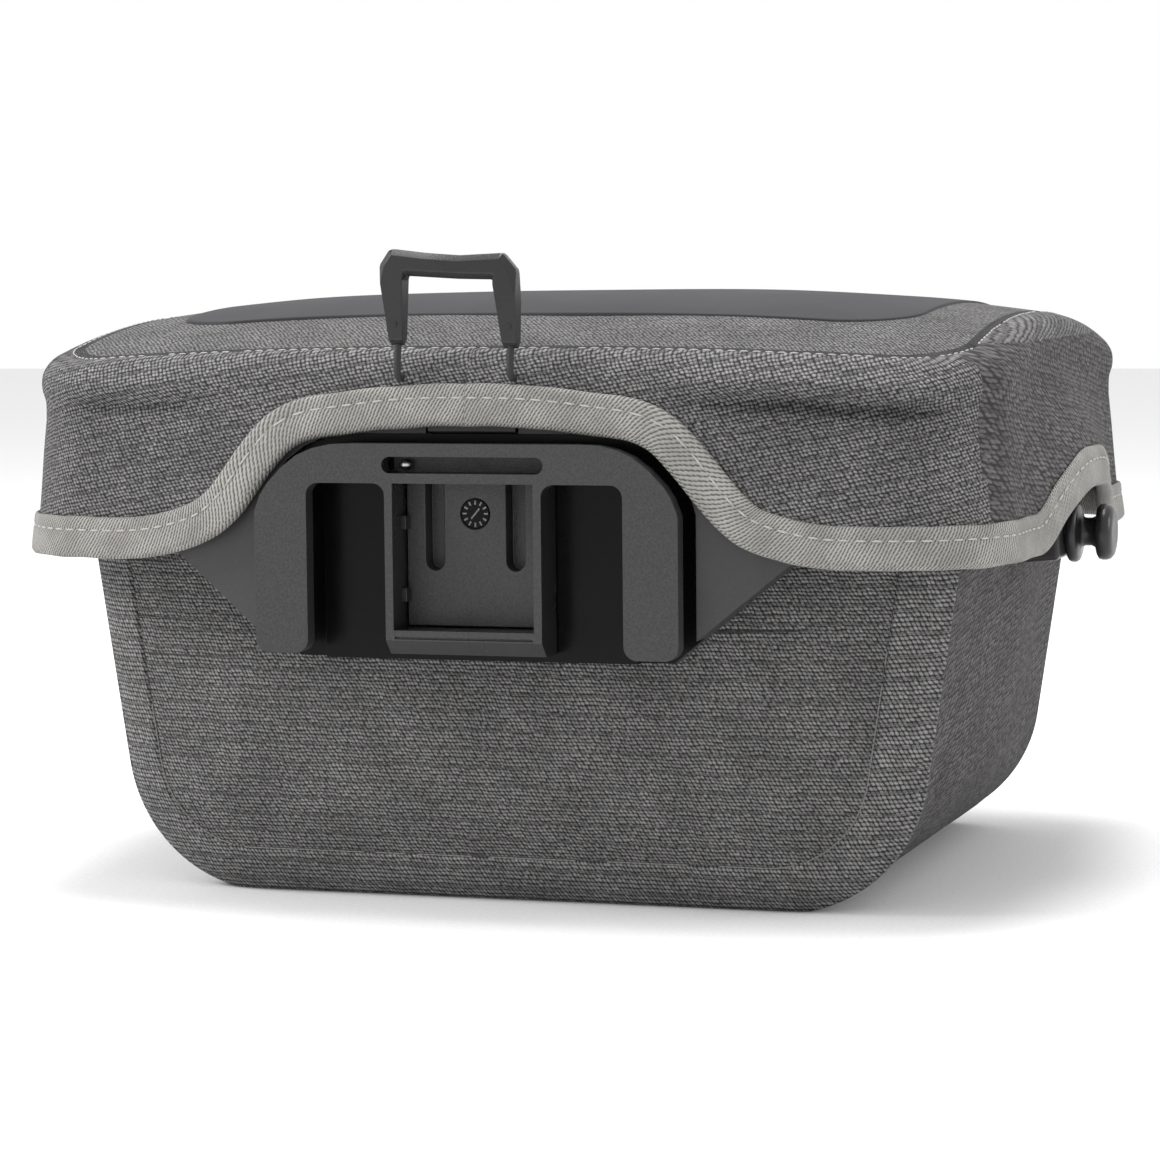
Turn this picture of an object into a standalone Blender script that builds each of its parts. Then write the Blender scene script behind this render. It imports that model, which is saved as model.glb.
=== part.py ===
"""Bicycle handlebar bag: a soft bag with a domed lid, and the plastic mount that hangs it on a handlebar.

The bag stands on its flat bottom. +Z is up, +X is to the right as the rider sees it,
and the mount faces the rider, towards -Y. All lengths are in metres.
"""

import math

import bmesh
import bpy
from mathutils import Matrix, Vector

OBJECT_NAME = "handlebar_bag"

# Clearance between neighbouring pieces, and how far cutters reach past what they cut
GAP = 0.0003
CUT_REACH = 0.0050
CUT_MARGIN = 0.0010

# Mount: frame on the rider's side
FRAME_HALF_WIDTH = 0.0533
FRAME_BOTTOM = 0.0647
FRAME_HEIGHT = 0.0508
FRAME_SHOULDER = 0.0252
SHOULDER_SHARE = 0.925
FRAME_THICKNESS = 0.0045
LEG_WIDTH = 0.0135
LEG_CORNER = 0.0032
RIB_OUTER = 0.0197
RIB_THICKNESS = 0.0020
RIB_TOP_DROP = 0.0016
BLOCK_HEIGHT = 0.0060
BLOCK_LIP = 0.0024
BLOCK_CHAMFER = 0.0040
SLOT_HALF_LENGTH = 0.0203
SLOT_HEIGHT = 0.0040
SLOT_DROP = 0.0071
SLOT_WEB = 0.0024
SLOT_DEPTH = 0.0070
SLOT_PIN_RADIUS = 0.0013
SLOT_PIN_INSET = 0.0042
SLOT_PIN_DEPTH = 0.0042
SLOT_PIN_RISE = 0.45

FRAME_TOP = FRAME_BOTTOM + FRAME_HEIGHT
SLOT_BOTTOM = FRAME_TOP - SLOT_DROP
BAR_UNDERSIDE = SLOT_BOTTOM - SLOT_WEB
SOCKET_BOTTOM = FRAME_BOTTOM + BLOCK_HEIGHT
RIB_INNER = RIB_OUTER - RIB_THICKNESS

# Mount: plate behind the frame, with a wing on each side
POCKET_DEPTH = 0.0107
PLATE_RIM_BEHIND_FACE = 0.0080
RIM_GAP = 0.0016
WING_SWEEP = 0.150
WING_TIP = 0.0840
WING_TIP_HEIGHT = 0.0060
WING_SLOPE = 0.768
WING_LOW_CORNER = 0.0478
PLATE_RISE = 0.0095
PLATE_TOP_HALF_WIDTH = 0.0450
PLATE_SHOULDER_WIDTH = 0.0180
PLATE_SHOULDER_DROP = 0.0220
PLATE_WEB = 0.0030
LEG_CHANNEL_DEPTH = 0.0030
LEG_CHANNEL_DROP = 0.0040
PLATE_LEVELS = (0.25, 0.60, 1.0)

PLATE_TOP = FRAME_TOP + PLATE_RISE

# Socket insert, with two slots and a dial, and the two catches beside it
SOCKET_FLOOR_DEPTH = 0.0095
INSERT_THICKNESS = 0.0055
INSERT_SLOT_X = 0.0103
INSERT_SLOT_WIDTH = 0.0046
INSERT_SLOT_LENGTH = 0.0210
DIAL_RADIUS = 0.0035
DIAL_DROP = 0.0077
DIAL_DEPTH = 0.0012
CATCH_SIZE = 0.0030
CATCH_ROOT = 0.0005
CATCH_REACH = 0.0012
CATCH_BEHIND_FACE = 0.0060
CATCH_RISES = (0.0063, 0.0238)

DIAL_HEIGHT = BAR_UNDERSIDE - DIAL_DROP

# Release tab above the frame
TAB_HALF_WIDTH = 0.0112
TAB_ARM_HALF_WIDTH = 0.0195
TAB_ARM_HEIGHT = 0.0050
TAB_ARM_TIP_HEIGHT = 0.0044
TAB_THICKNESS = 0.0045
TAB_RIDGE = 0.0008
TAB_BEHIND_FACE = 0.0076

# Bag body: two U-shaped panels, joined by a gusset that runs down, under and up again
BODY_DEPTH = 0.1520
BODY_HALF_BASE = 0.0987
BODY_FLARE = 0.151
BODY_CORNER = 0.0370
BODY_WALL = 0.0020
RIM_DROP = 0.0060
REAR_BULGE = 0.0185
FRONT_BULGE = 0.0070
BULGE_REACH = 0.0200
CORNER_BLEND = 0.008
BODY_LEVELS = (0.30, 0.66, 1.06, 1.50)

# The rear panel's middle lies against the back of the mount's plate
SEAM_BEHIND_FACE = SOCKET_FLOOR_DEPTH + INSERT_THICKNESS + PLATE_WEB + REAR_BULGE

# Welded band along the edge of the rear panel
BAND_WIDTH = 0.0110
BAND_OVERHANG = 0.0012
BAND_THICKNESS = 0.0010
BAND_STANDOFF = 0.0006
BAND_LAP = 0.0308
BAND_SHARES = (0.0, 0.25, 0.56, 1.0)

# Lid: outline of the skirt at its lower edge, around the body
LID_EDGE_HEIGHT = 0.0872
LID_SIDE_OVERHANG = 0.0149
LID_REAR_OVERHANG = 0.0200
LID_FRONT_OVERHANG = 0.0179
SKIRT_BEHIND_FACE = 0.0032
LID_CORNER = 0.0220
LID_WALL = 0.0016
SIDE_BOW = 0.0052
SIDE_BOW_HALF_SPAN = 0.0600
SKIRT_LEVELS = (0.0, 0.33, 0.67)

LID_HALF_WIDTH = BODY_HALF_BASE + BODY_FLARE * LID_EDGE_HEIGHT + LID_SIDE_OVERHANG
LID_REAR_BEHIND_FACE = SEAM_BEHIND_FACE - LID_REAR_OVERHANG
LID_FRONT_BEHIND_FACE = SEAM_BEHIND_FACE + BODY_DEPTH + LID_FRONT_OVERHANG
REAR_BOW = LID_REAR_BEHIND_FACE - SKIRT_BEHIND_FACE

# Side knobs on the gusset, halfway along the bag, just above the skirt's edge
KNOB_RISE = 0.0009
KNOB_ARM_LENGTH = 0.0132
KNOB_ARM_DEPTH = 0.0260
KNOB_ARM_HEIGHT = 0.0130
KNOB_FLANGE_RADIUS = 0.0079
KNOB_FLANGE_THICKNESS = 0.0030
KNOB_NECK_RADIUS = 0.0038
KNOB_NECK_LENGTH = 0.0044
KNOB_HEAD_RADIUS = 0.0071
KNOB_HEAD_THICKNESS = 0.0046

KNOB_BEHIND_FACE = SEAM_BEHIND_FACE + BODY_DEPTH / 2
KNOB_HEIGHT = LID_EDGE_HEIGHT + KNOB_RISE
KNOB_ARM_REACH = BODY_HALF_BASE + BODY_FLARE * KNOB_HEIGHT + KNOB_ARM_LENGTH

# Arches in the skirt's edge: one over the mount, and one over each side knob
REAR_ARCH_CLEARANCE = 0.0050
REAR_ARCH_HALF_SPAN = 0.0900
SIDE_ARCH_CLEARANCE = 0.0051
SIDE_ARCH_HALF_SPAN = 0.0480

REAR_ARCH_TOP = FRAME_TOP + REAR_ARCH_CLEARANCE
REAR_ARCH_RISE = REAR_ARCH_TOP - LID_EDGE_HEIGHT
SIDE_ARCH_RISE = KNOB_RISE + KNOB_FLANGE_RADIUS + SIDE_ARCH_CLEARANCE

# Lid: the domed top inside its seam, above the rear arch
DOME_OVER_ARCH = 0.0295
DOME_DROP_REAR = 0.0113
DOME_DROP_SIDE = 0.0075
SEAM_INSET = 0.0105
WINDOW_SIDE_INSET = 0.0288
WINDOW_REAR_INSET = 0.0300
WINDOW_FRONT_INSET = 0.0240
WINDOW_CORNER = 0.0200
WINDOW_STRAIGHT = 0.70
WINDOW_THICKNESS = 0.0006

DOME_HEIGHT = REAR_ARCH_TOP + DOME_OVER_ARCH
WINDOW_HALF_WIDTH = LID_HALF_WIDTH - WINDOW_SIDE_INSET

# Binding tape, folded around the skirt's edge
BINDING_WIDTH = 0.0094
BINDING_THICKNESS = 0.0009
BINDING_FOLD_GAP = 0.0008

# Y of the mount's front face, from which depths are measured, with the whole bag centred on Y = 0
FACE_Y = -(LID_FRONT_BEHIND_FACE + GAP + BINDING_THICKNESS) / 2

# Pull handle and its cords; a cord's route is (behind the face, above its hole) from the tab upwards
HANDLE_X = -0.0023
HANDLE_BEHIND_FACE = 0.0028
HANDLE_HALF_SPACING = 0.0142
HANDLE_SPREAD = 0.0004
HANDLE_RADIUS = 0.00275
HANDLE_FOOT_RADIUS = 0.0017
HANDLE_FOOT_RISE = 0.0074
HANDLE_HEIGHT = 0.0202
HANDLE_LEAN = -0.0012
HANDLE_SAG = 0.0012
HANDLE_CHAMFER = 0.0026
CORD_RADIUS = 0.00085
CORD_HOLE_DROP = 0.0187
CORD_ROUTE = (
    (0.0110, -0.0057),
    (0.0110, -0.0033),
    (0.0104, -0.0013),
    (0.0090, -0.0002),
    (0.0070, 0.0),
    (0.0034, 0.0),
    (0.0022, 0.0006),
    (0.0018, 0.0020),
    (0.0021, 0.0047),
    (0.0028, 0.0071),
)

CORD_HOLE_HEIGHT = DOME_HEIGHT - CORD_HOLE_DROP
HANDLE_FOOT_HEIGHT = CORD_HOLE_HEIGHT + HANDLE_FOOT_RISE
HANDLE_TOP_HEIGHT = HANDLE_FOOT_HEIGHT + HANDLE_HEIGHT

# Mesh density: mean spacing of the lid's sections, how much closer they stand at the rear, the reach
# over which the outline's direction is read, and the steps of a quarter round
SECTION_SPACING = 0.0084
REAR_DENSITY = 0.35
DIRECTION_REACH = 0.0040
ARC_STEPS = 4

# Rear arch of the skirt's edge, as shares of its half span and of its rise
REAR_ARCH = (
    # across, up
    (0.00, 1.000),
    (0.15, 0.992),
    (0.28, 0.962),
    (0.42, 0.910),
    (0.49, 0.850),
    (0.55, 0.720),
    (0.60, 0.560),
    (0.66, 0.350),
    (0.72, 0.205),
    (0.80, 0.095),
    (0.89, 0.030),
    (1.00, 0.000),
)

# Shoulder of the lid, as shares of the seam's inset: inwards from the skirt, and down from the seam
SHOULDER = (
    # inwards, down
    (0.33, 1.05),
    (0.21, 0.72),
    (0.29, 0.34),
    (0.62, 0.07),
    (1.00, 0.00),
)


def behind(distance):
    """Return the Y position that lies this far behind the mount's front face."""
    return FACE_Y + distance


def material(name, colour, roughness):
    """Return a Principled material with the given base colour and roughness."""
    made = bpy.data.materials.new(name)
    made.use_nodes = True
    shader = made.node_tree.nodes["Principled BSDF"]
    shader.inputs["Base Color"].default_value = (*colour, 1.0)
    shader.inputs["Roughness"].default_value = roughness
    shader.inputs["Metallic"].default_value = 0.0
    return made


def add_object(name, mesh, finish, collection):
    """Put a mesh in the scene as one named sub-part."""
    made = bpy.data.objects.new(name, mesh)
    collection.objects.link(made)
    if finish is not None:
        mesh.materials.append(finish)
    return made


def mesh_of(build_mesh, name):
    """Store a bmesh, with its faces turned outwards, as a mesh."""
    bmesh.ops.recalc_face_normals(build_mesh, faces=build_mesh.faces)
    mesh = bpy.data.meshes.new(name)
    build_mesh.to_mesh(mesh)
    build_mesh.free()
    return mesh


def loft(sections, closed=True, cap_ends=True):
    """Join a row of sections, each with as many points, into one surface."""
    surface = bmesh.new()
    rows = [[surface.verts.new(point) for point in section] for section in sections]
    count = len(rows[0])
    steps = count if closed else count - 1
    for lower, upper in zip(rows, rows[1:]):
        for step in range(steps):
            following = (step + 1) % count
            surface.faces.new((lower[step], lower[following], upper[following], upper[step]))
    if cap_ends:
        surface.faces.new(rows[0])
        surface.faces.new(rows[-1])
    return surface


def slab(name, outline, low, high, finish, collection, axis="Y"):
    """Extrude a flat outline from low to high, along Y or Z, as a filled curve made into a mesh."""
    curve = bpy.data.curves.new(name, "CURVE")
    curve.dimensions = "2D"
    curve.fill_mode = "BOTH"
    curve.extrude = (high - low) / 2
    spline = curve.splines.new("POLY")
    spline.points.add(len(outline) - 1)
    for point, (across, up) in zip(spline.points, outline):
        point.co = (across, up, 0.0, 1.0)
    spline.use_cyclic_u = True
    shape = bpy.data.objects.new(name, curve)
    bpy.context.scene.collection.objects.link(shape)
    middle = (low + high) / 2
    if axis == "Y":
        shape.matrix_world = Matrix.Translation((0.0, middle, 0.0)) @ Matrix.Rotation(math.pi / 2, 4, "X")
    else:
        shape.matrix_world = Matrix.Translation((0.0, 0.0, middle))
    return meshed(shape, name, finish, collection)


def meshed(shape, name, finish, collection):
    """Turn a curve object into a closed mesh object in the same place, and remove the curve."""
    bpy.context.view_layer.update()
    placed = shape.matrix_world.copy()
    evaluated = shape.evaluated_get(bpy.context.evaluated_depsgraph_get())
    mesh = bpy.data.meshes.new_from_object(evaluated)
    mesh.materials.clear()
    welded = bmesh.new()
    welded.from_mesh(mesh)
    bmesh.ops.remove_doubles(welded, verts=welded.verts, dist=0.00001)
    bmesh.ops.recalc_face_normals(welded, faces=welded.faces)
    welded.to_mesh(mesh)
    welded.free()
    mesh.name = name
    bpy.data.objects.remove(shape)
    made = add_object(name, mesh, finish, collection)
    made.matrix_world = placed
    return made


def tube(name, path, radius, finish, collection, radii=None):
    """Make a solid tube along a path; radii scales the radius at each point."""
    curve = bpy.data.curves.new(name, "CURVE")
    curve.dimensions = "3D"
    curve.bevel_depth = radius
    curve.bevel_resolution = 2
    curve.use_fill_caps = True
    spline = curve.splines.new("POLY")
    spline.points.add(len(path) - 1)
    for index, place in enumerate(path):
        spline.points[index].co = (*place, 1.0)
        if radii is not None:
            spline.points[index].radius = radii[index]
    shape = bpy.data.objects.new(name, curve)
    bpy.context.scene.collection.objects.link(shape)
    return meshed(shape, name, finish, collection)


def block(name, low, high, finish, collection):
    """Make a box between two opposite corners."""
    bpy.ops.mesh.primitive_cube_add(size=1.0)
    made = bpy.context.object
    for owner in list(made.users_collection):
        owner.objects.unlink(made)
    collection.objects.link(made)
    made.name = name
    made.location = (Vector(low) + Vector(high)) / 2
    made.scale = Vector(high) - Vector(low)
    if finish is not None:
        made.data.materials.append(finish)
    return made


def combine(target, tool, operation):
    """Cut, join or intersect a target with a tool that stands in the cutters' collection."""
    tool.hide_render = True
    tool.display_type = "WIRE"
    modifier = target.modifiers.new(tool.name, "BOOLEAN")
    modifier.operation = operation
    modifier.solver = "EXACT"
    modifier.object = tool


def arc(centre, radius, start, end, steps=ARC_STEPS):
    """Return points on an arc, from the start angle to the end angle in degrees."""
    angles = [math.radians(start + (end - start) * step / steps) for step in range(steps + 1)]
    return [(centre[0] + radius * math.cos(a), centre[1] + radius * math.sin(a)) for a in angles]


def mirrored(half):
    """Return a closed outline from its right half, which runs from the bottom to the top."""
    left = [(-across, up) for across, up in reversed(half) if across > 0.0]
    return list(half) + left


# Bag body

FLARE_LENGTH = math.hypot(1.0, BODY_FLARE)
CORNER_X = BODY_HALF_BASE + BODY_FLARE * BODY_CORNER - BODY_CORNER * FLARE_LENGTH


def body_half_width(height):
    """Return half the width of the U-shaped panels at a height above the floor."""
    tangent = BODY_CORNER * (1.0 - BODY_FLARE / FLARE_LENGTH)
    if height >= tangent:
        return BODY_HALF_BASE + BODY_FLARE * height
    return CORNER_X + math.sqrt(max(0.0, BODY_CORNER**2 - (BODY_CORNER - height) ** 2))


def edge_distance(across, height):
    """Return how far inside the U-shaped outline a point of the panel lies."""
    across = abs(across)
    side = (BODY_HALF_BASE + BODY_FLARE * height - across) / FLARE_LENGTH
    if height < BODY_CORNER:
        if across > CORNER_X:
            return BODY_CORNER - math.hypot(across - CORNER_X, height - BODY_CORNER)
        return height
    if across > CORNER_X:
        return side
    blend = CORNER_BLEND
    return -blend * math.log(math.exp(-side / blend) + math.exp(-height / blend))


def rear_surface(across, height):
    """Return the Y of the rear panel, which swells towards the rider inside its seam."""
    inside = edge_distance(across, height)
    return behind(SEAM_BEHIND_FACE) - REAR_BULGE * (1.0 - math.exp(-inside / BULGE_REACH))


def front_surface(across, height):
    """Return the Y of the front panel, which swells forwards."""
    inside = max(0.0, edge_distance(across, height))
    return behind(SEAM_BEHIND_FACE + BODY_DEPTH) + FRONT_BULGE * (1.0 - math.exp(-inside / BULGE_REACH))


def body_section(height_of):
    """Return one level section of the body; height_of gives the height at a place in plan."""
    shares = (0.0, 0.28, 0.5, 0.66, 0.78, 0.87, 0.94, 1.0)
    right = []
    for share in shares:
        height = height_of(share * LID_HALF_WIDTH, SEAM_BEHIND_FACE)
        across = share * body_half_width(height)
        right.append((across, rear_surface(across, height), height))
    for share in (0.25, 0.5, 0.75):
        height = height_of(BODY_HALF_BASE, SEAM_BEHIND_FACE + share * BODY_DEPTH)
        right.append((body_half_width(height), behind(SEAM_BEHIND_FACE + share * BODY_DEPTH), height))
    for share in (1.0, 0.93, 0.8, 0.5, 0.0):
        height = height_of(share * BODY_HALF_BASE, SEAM_BEHIND_FACE + BODY_DEPTH)
        across = share * body_half_width(height)
        right.append((across, front_surface(across, height), height))
    left = [(-x, y, z) for x, y, z in reversed(right[1:-1])]
    return right + left


def make_body(finish, collection):
    """Make the hollow bag, open at the top, where its rim stops just under the lid."""
    arc_heights = [BODY_CORNER * (1.0 - math.cos(math.radians(15 * step))) for step in range(7)]
    upper = [BODY_CORNER + share * (LID_EDGE_HEIGHT - BODY_CORNER) for share in BODY_LEVELS]
    sections = [body_section(lambda x, y, z=height: z) for height in arc_heights + upper]
    sections.append(body_section(lambda x, y: lid_underside(x, behind(y)) - RIM_DROP))
    surface = loft(sections, cap_ends=False)
    floor = [vertex for vertex in surface.verts if vertex.co.z < 0.00001]
    bmesh.ops.contextual_create(surface, geom=floor)
    body = add_object("body_shell", mesh_of(surface, "body_shell"), finish, collection)
    wall = body.modifiers.new("wall", "SOLIDIFY")
    wall.thickness = BODY_WALL
    wall.offset = -1.0
    wall.use_even_offset = True
    return body


def u_path():
    """Return points of the U-shaped seam, with the direction that points into the panel."""
    lean = Vector((-1.0, BODY_FLARE)).normalized()
    path = []
    for share in (1.0, 0.75, 0.5, 0.25, 0.0):
        low = BODY_CORNER * (1.0 - BODY_FLARE / FLARE_LENGTH)
        height = low + share * (LID_EDGE_HEIGHT + BAND_LAP - low)
        path.append((body_half_width(height), height, lean.x, lean.y))
    start = -math.degrees(math.atan(BODY_FLARE))
    for across, height in arc((CORNER_X, BODY_CORNER), BODY_CORNER, start, -90.0, 7)[1:]:
        inwards = Vector((CORNER_X - across, BODY_CORNER - height)).normalized()
        path.append((across, height, inwards.x, inwards.y))
    path.append((CORNER_X / 2, 0.0, 0.0, 1.0))
    path.append((0.0, 0.0, 0.0, 1.0))
    return path + [(-x, z, -nx, nz) for x, z, nx, nz in reversed(path[:-1])]


def make_band(finish, collection):
    """Make the welded band that follows the rear panel's edge."""
    offsets = [share * BAND_WIDTH for share in BAND_SHARES]
    sections = []
    for x, z, nx, nz in u_path():
        back = []
        front = []
        for offset in offsets:
            across = x + nx * offset
            height = z + nz * offset
            depth = rear_surface(across, max(height, 0.0)) - BAND_STANDOFF
            back.append((across, depth, height))
            front.append((across, depth - BAND_THICKNESS, height))
        lip_x = x - nx * BAND_OVERHANG
        lip_z = max(z - nz * BAND_OVERHANG, 0.0)
        lip = (lip_x, front[0][1] + 0.3 * BAND_THICKNESS, lip_z)
        sections.append([lip] + front + list(reversed(back)))
    surface = loft(sections)
    return add_object("rear_band", mesh_of(surface, "rear_band"), finish, collection)


# Lid


def lid_outline():
    """Return the lid's plan outline, closed, as evenly walked points."""
    rear = behind(LID_REAR_BEHIND_FACE)
    front = behind(LID_FRONT_BEHIND_FACE)
    inner = LID_HALF_WIDTH - LID_CORNER
    points = [(inner * share / 12, rear) for share in range(13)]
    points += arc((inner, rear + LID_CORNER), LID_CORNER, -90, 0, 8)[1:]
    low = rear + LID_CORNER
    high = front - LID_CORNER
    points += [(LID_HALF_WIDTH, low + (high - low) * share / 20) for share in range(1, 21)]
    points += arc((inner, high), LID_CORNER, 0, 90, 8)[1:]
    points += [(inner * share / 4, front) for share in (3, 2, 1, 0)]
    points += [(-x, y) for x, y in reversed(points[1:-1])]
    middle = (rear + front) / 2
    bowed = []
    for x, y in points:
        share = min(1.0, abs(x) / LID_HALF_WIDTH)
        bow = REAR_BOW * (1.0 - share**4) if y < middle else 0.0
        bowed.append((x, y - bow))
    return bowed


class Perimeter:
    """The lid's outline, walked by the distance along it from the middle of the rear side."""

    def __init__(self):
        self.points = [Vector(point) for point in lid_outline()]
        self.points.append(self.points[0].copy())
        self.walked = [0.0]
        for start, end in zip(self.points, self.points[1:]):
            self.walked.append(self.walked[-1] + (end - start).length)
        self.length = self.walked[-1]

    def place(self, distance):
        """Return the plan point at a distance along the outline."""
        distance %= self.length
        index = 0
        while index < len(self.walked) - 2 and self.walked[index + 1] < distance:
            index += 1
        span = self.walked[index + 1] - self.walked[index]
        return self.points[index].lerp(self.points[index + 1], (distance - self.walked[index]) / span)

    def outwards(self, distance):
        """Return the outward direction in plan at a distance along the outline."""
        along = self.place(distance + DIRECTION_REACH) - self.place(distance - DIRECTION_REACH)
        return Vector((along.y, -along.x)).normalized()


def dome(x, y):
    """Return the height of the lid's domed top."""
    middle = behind((LID_REAR_BEHIND_FACE + LID_FRONT_BEHIND_FACE) / 2)
    half_depth = (LID_FRONT_BEHIND_FACE - LID_REAR_BEHIND_FACE) / 2
    forward = abs(y - middle) / half_depth
    sideways = abs(x) / LID_HALF_WIDTH
    return DOME_HEIGHT - DOME_DROP_REAR * forward**2.2 - DOME_DROP_SIDE * sideways**3


def lid_underside(x, y):
    """Return the height of the lid's inner surface under its domed top."""
    return dome(x, y) - LID_WALL


def table_value(table, share):
    """Read a value from a two-column table, with straight lines between its rows."""
    for (start, low), (end, high) in zip(table, table[1:]):
        if share <= end:
            return low + (high - low) * (share - start) / (end - start)
    return table[-1][1]


def side_knob_nearness(y, half_span):
    """Return 1 beside a knob, falling smoothly to 0 at half a span from it."""
    share = min(1.0, abs(y - behind(KNOB_BEHIND_FACE)) / half_span)
    return 0.5 + 0.5 * math.cos(math.pi * share)


def skirt_edge(x, y):
    """Return the height of the skirt's lower edge at a plan point."""
    if y < behind(LID_REAR_BEHIND_FACE) + CUT_MARGIN and abs(x) < REAR_ARCH_HALF_SPAN:
        return LID_EDGE_HEIGHT + REAR_ARCH_RISE * table_value(REAR_ARCH, abs(x) / REAR_ARCH_HALF_SPAN)
    if abs(x) > LID_HALF_WIDTH - CUT_MARGIN:
        return LID_EDGE_HEIGHT + SIDE_ARCH_RISE * side_knob_nearness(y, SIDE_ARCH_HALF_SPAN)
    return LID_EDGE_HEIGHT


def skirt_point(perimeter, distance, height, outset=0.0):
    """Return a point of the skirt at a distance along the outline and a height."""
    plan = perimeter.place(distance)
    out = perimeter.outwards(distance)
    crease_height = dome(plan.x, plan.y) - SHOULDER[0][1] * SEAM_INSET
    rise = min(1.0, max(0.0, (height - LID_EDGE_HEIGHT) / (crease_height - LID_EDGE_HEIGHT)))
    lean = SHOULDER[0][0] * SEAM_INSET * rise * (1.0 - rear_arch_nearness(plan))
    bow = 0.0
    if abs(plan.x) > LID_HALF_WIDTH - CUT_MARGIN:
        bow = SIDE_BOW * side_knob_nearness(plan.y, SIDE_BOW_HALF_SPAN) * (1.0 - rise)
    plan = plan + out * (outset - lean + bow)
    return Vector((plan.x, plan.y, height))


def rear_arch_nearness(plan):
    """Return 1 over the mount, falling to 0 at the corners, where the skirt leans inwards."""
    if plan.y > behind(LID_REAR_BEHIND_FACE) + CUT_MARGIN:
        return 0.0
    share = min(1.0, abs(plan.x) / REAR_ARCH_HALF_SPAN)
    return 1.0 - share**4


def shoulder_point(perimeter, distance, inwards, down):
    """Return a point of the rounded shoulder between the skirt and the seam."""
    plan = perimeter.place(distance)
    out = perimeter.outwards(distance)
    first_inwards = SHOULDER[0][0]
    smooth = rear_arch_nearness(plan)
    if down > 0.0:
        inwards = inwards - smooth * min(inwards, first_inwards)
    seam = plan - out * SEAM_INSET
    place = plan - out * inwards * SEAM_INSET
    return Vector((place.x, place.y, dome(seam.x, seam.y) - down * SEAM_INSET))


def window_point(share_x, share_y):
    """Return a point of the window's rounded outline in the direction of two shares."""
    rear = behind(LID_REAR_BEHIND_FACE + WINDOW_REAR_INSET)
    front = behind(LID_FRONT_BEHIND_FACE - WINDOW_FRONT_INSET)
    core = Vector((WINDOW_HALF_WIDTH - WINDOW_CORNER, (front - rear) / 2 - WINDOW_CORNER))
    place = Vector((share_x * core.x, share_y * core.y))
    place += WINDOW_CORNER * corner_direction(share_x, share_y)
    return place + Vector((0.0, (front + rear) / 2))


def corner_direction(share_x, share_y):
    """Return the rounded corner's outward direction, square to the sides away from the corners."""
    square_x = max(0.0, (abs(share_x) - WINDOW_STRAIGHT) / (1.0 - WINDOW_STRAIGHT))
    square_y = max(0.0, (abs(share_y) - WINDOW_STRAIGHT) / (1.0 - WINDOW_STRAIGHT))
    direction = Vector((math.copysign(square_x, share_x), math.copysign(square_y, share_y)))
    if abs(share_x) >= 0.999 > abs(share_y):
        direction.x = math.copysign(1.0, share_x)
    if abs(share_y) >= 0.999 > abs(share_x):
        direction.y = math.copysign(1.0, share_y)
    return direction.normalized()


def section_distances(perimeter):
    """Return where the lid's sections stand along its outline, closer together at the rear arch."""
    count = round(perimeter.length / SECTION_SPACING)
    turns = [2 * math.pi * step / count for step in range(count)]
    return [perimeter.length * (turn - REAR_DENSITY * math.sin(turn)) / (2 * math.pi) for turn in turns]


def dome_rings(perimeter, distances):
    """Return the level rings of the domed top, from the window's edge to near its middle."""
    rear = behind(LID_REAR_BEHIND_FACE)
    front = behind(LID_FRONT_BEHIND_FACE)
    middle = Vector((0.0, (rear + front) / 2))
    half = Vector((LID_HALF_WIDTH, (front - rear) / 2))
    edge = []
    for distance in distances:
        offset = perimeter.place(distance) - middle
        largest = max(abs(offset.x) / half.x, abs(offset.y) / half.y)
        edge.append(window_point(offset.x / half.x / largest, offset.y / half.y / largest))
    rings = []
    for scale in (1.0, 0.62, 0.22):
        ring = [middle + (point - middle) * scale for point in edge]
        rings.append([Vector((point.x, point.y, dome(point.x, point.y))) for point in ring])
    return rings


def make_lid(perimeter, finish, collection):
    """Make the hollow lid: a skirt with arches, a soft shoulder and a domed top."""
    distances = section_distances(perimeter)
    columns = []
    for distance in distances:
        plan = perimeter.place(distance)
        low = skirt_edge(plan.x, plan.y)
        high = dome(plan.x, plan.y) - SHOULDER[0][1] * SEAM_INSET
        heights = [low + (high - low) * share for share in SKIRT_LEVELS]
        column = [skirt_point(perimeter, distance, height) for height in heights]
        column += [shoulder_point(perimeter, distance, *row) for row in SHOULDER]
        columns.append(column)
    rings = [list(ring) for ring in zip(*columns)]
    rings += dome_rings(perimeter, distances)
    surface = loft(rings, cap_ends=False)
    surface.verts.ensure_lookup_table()
    last = [surface.verts[len(surface.verts) - len(distances) + step] for step in range(len(distances))]
    surface.faces.new(last)
    lid = add_object("lid_shell", mesh_of(surface, "lid_shell"), finish, collection)
    wall = lid.modifiers.new("wall", "SOLIDIFY")
    wall.thickness = LID_WALL
    wall.offset = -1.0
    wall.use_even_offset = True
    return lid


def make_window(perimeter, finish, collection):
    """Make the smooth panel that lies on the lid's domed top."""
    rings = dome_rings(perimeter, section_distances(perimeter))
    lift = Vector((0.0, 0.0, GAP))
    thick = Vector((0.0, 0.0, GAP + WINDOW_THICKNESS))
    lower = [[point + lift for point in ring] for ring in reversed(rings)]
    upper = [[point + thick for point in ring] for ring in rings]
    surface = loft(lower + upper)
    return add_object("lid_window", mesh_of(surface, "lid_window"), finish, collection)


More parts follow.
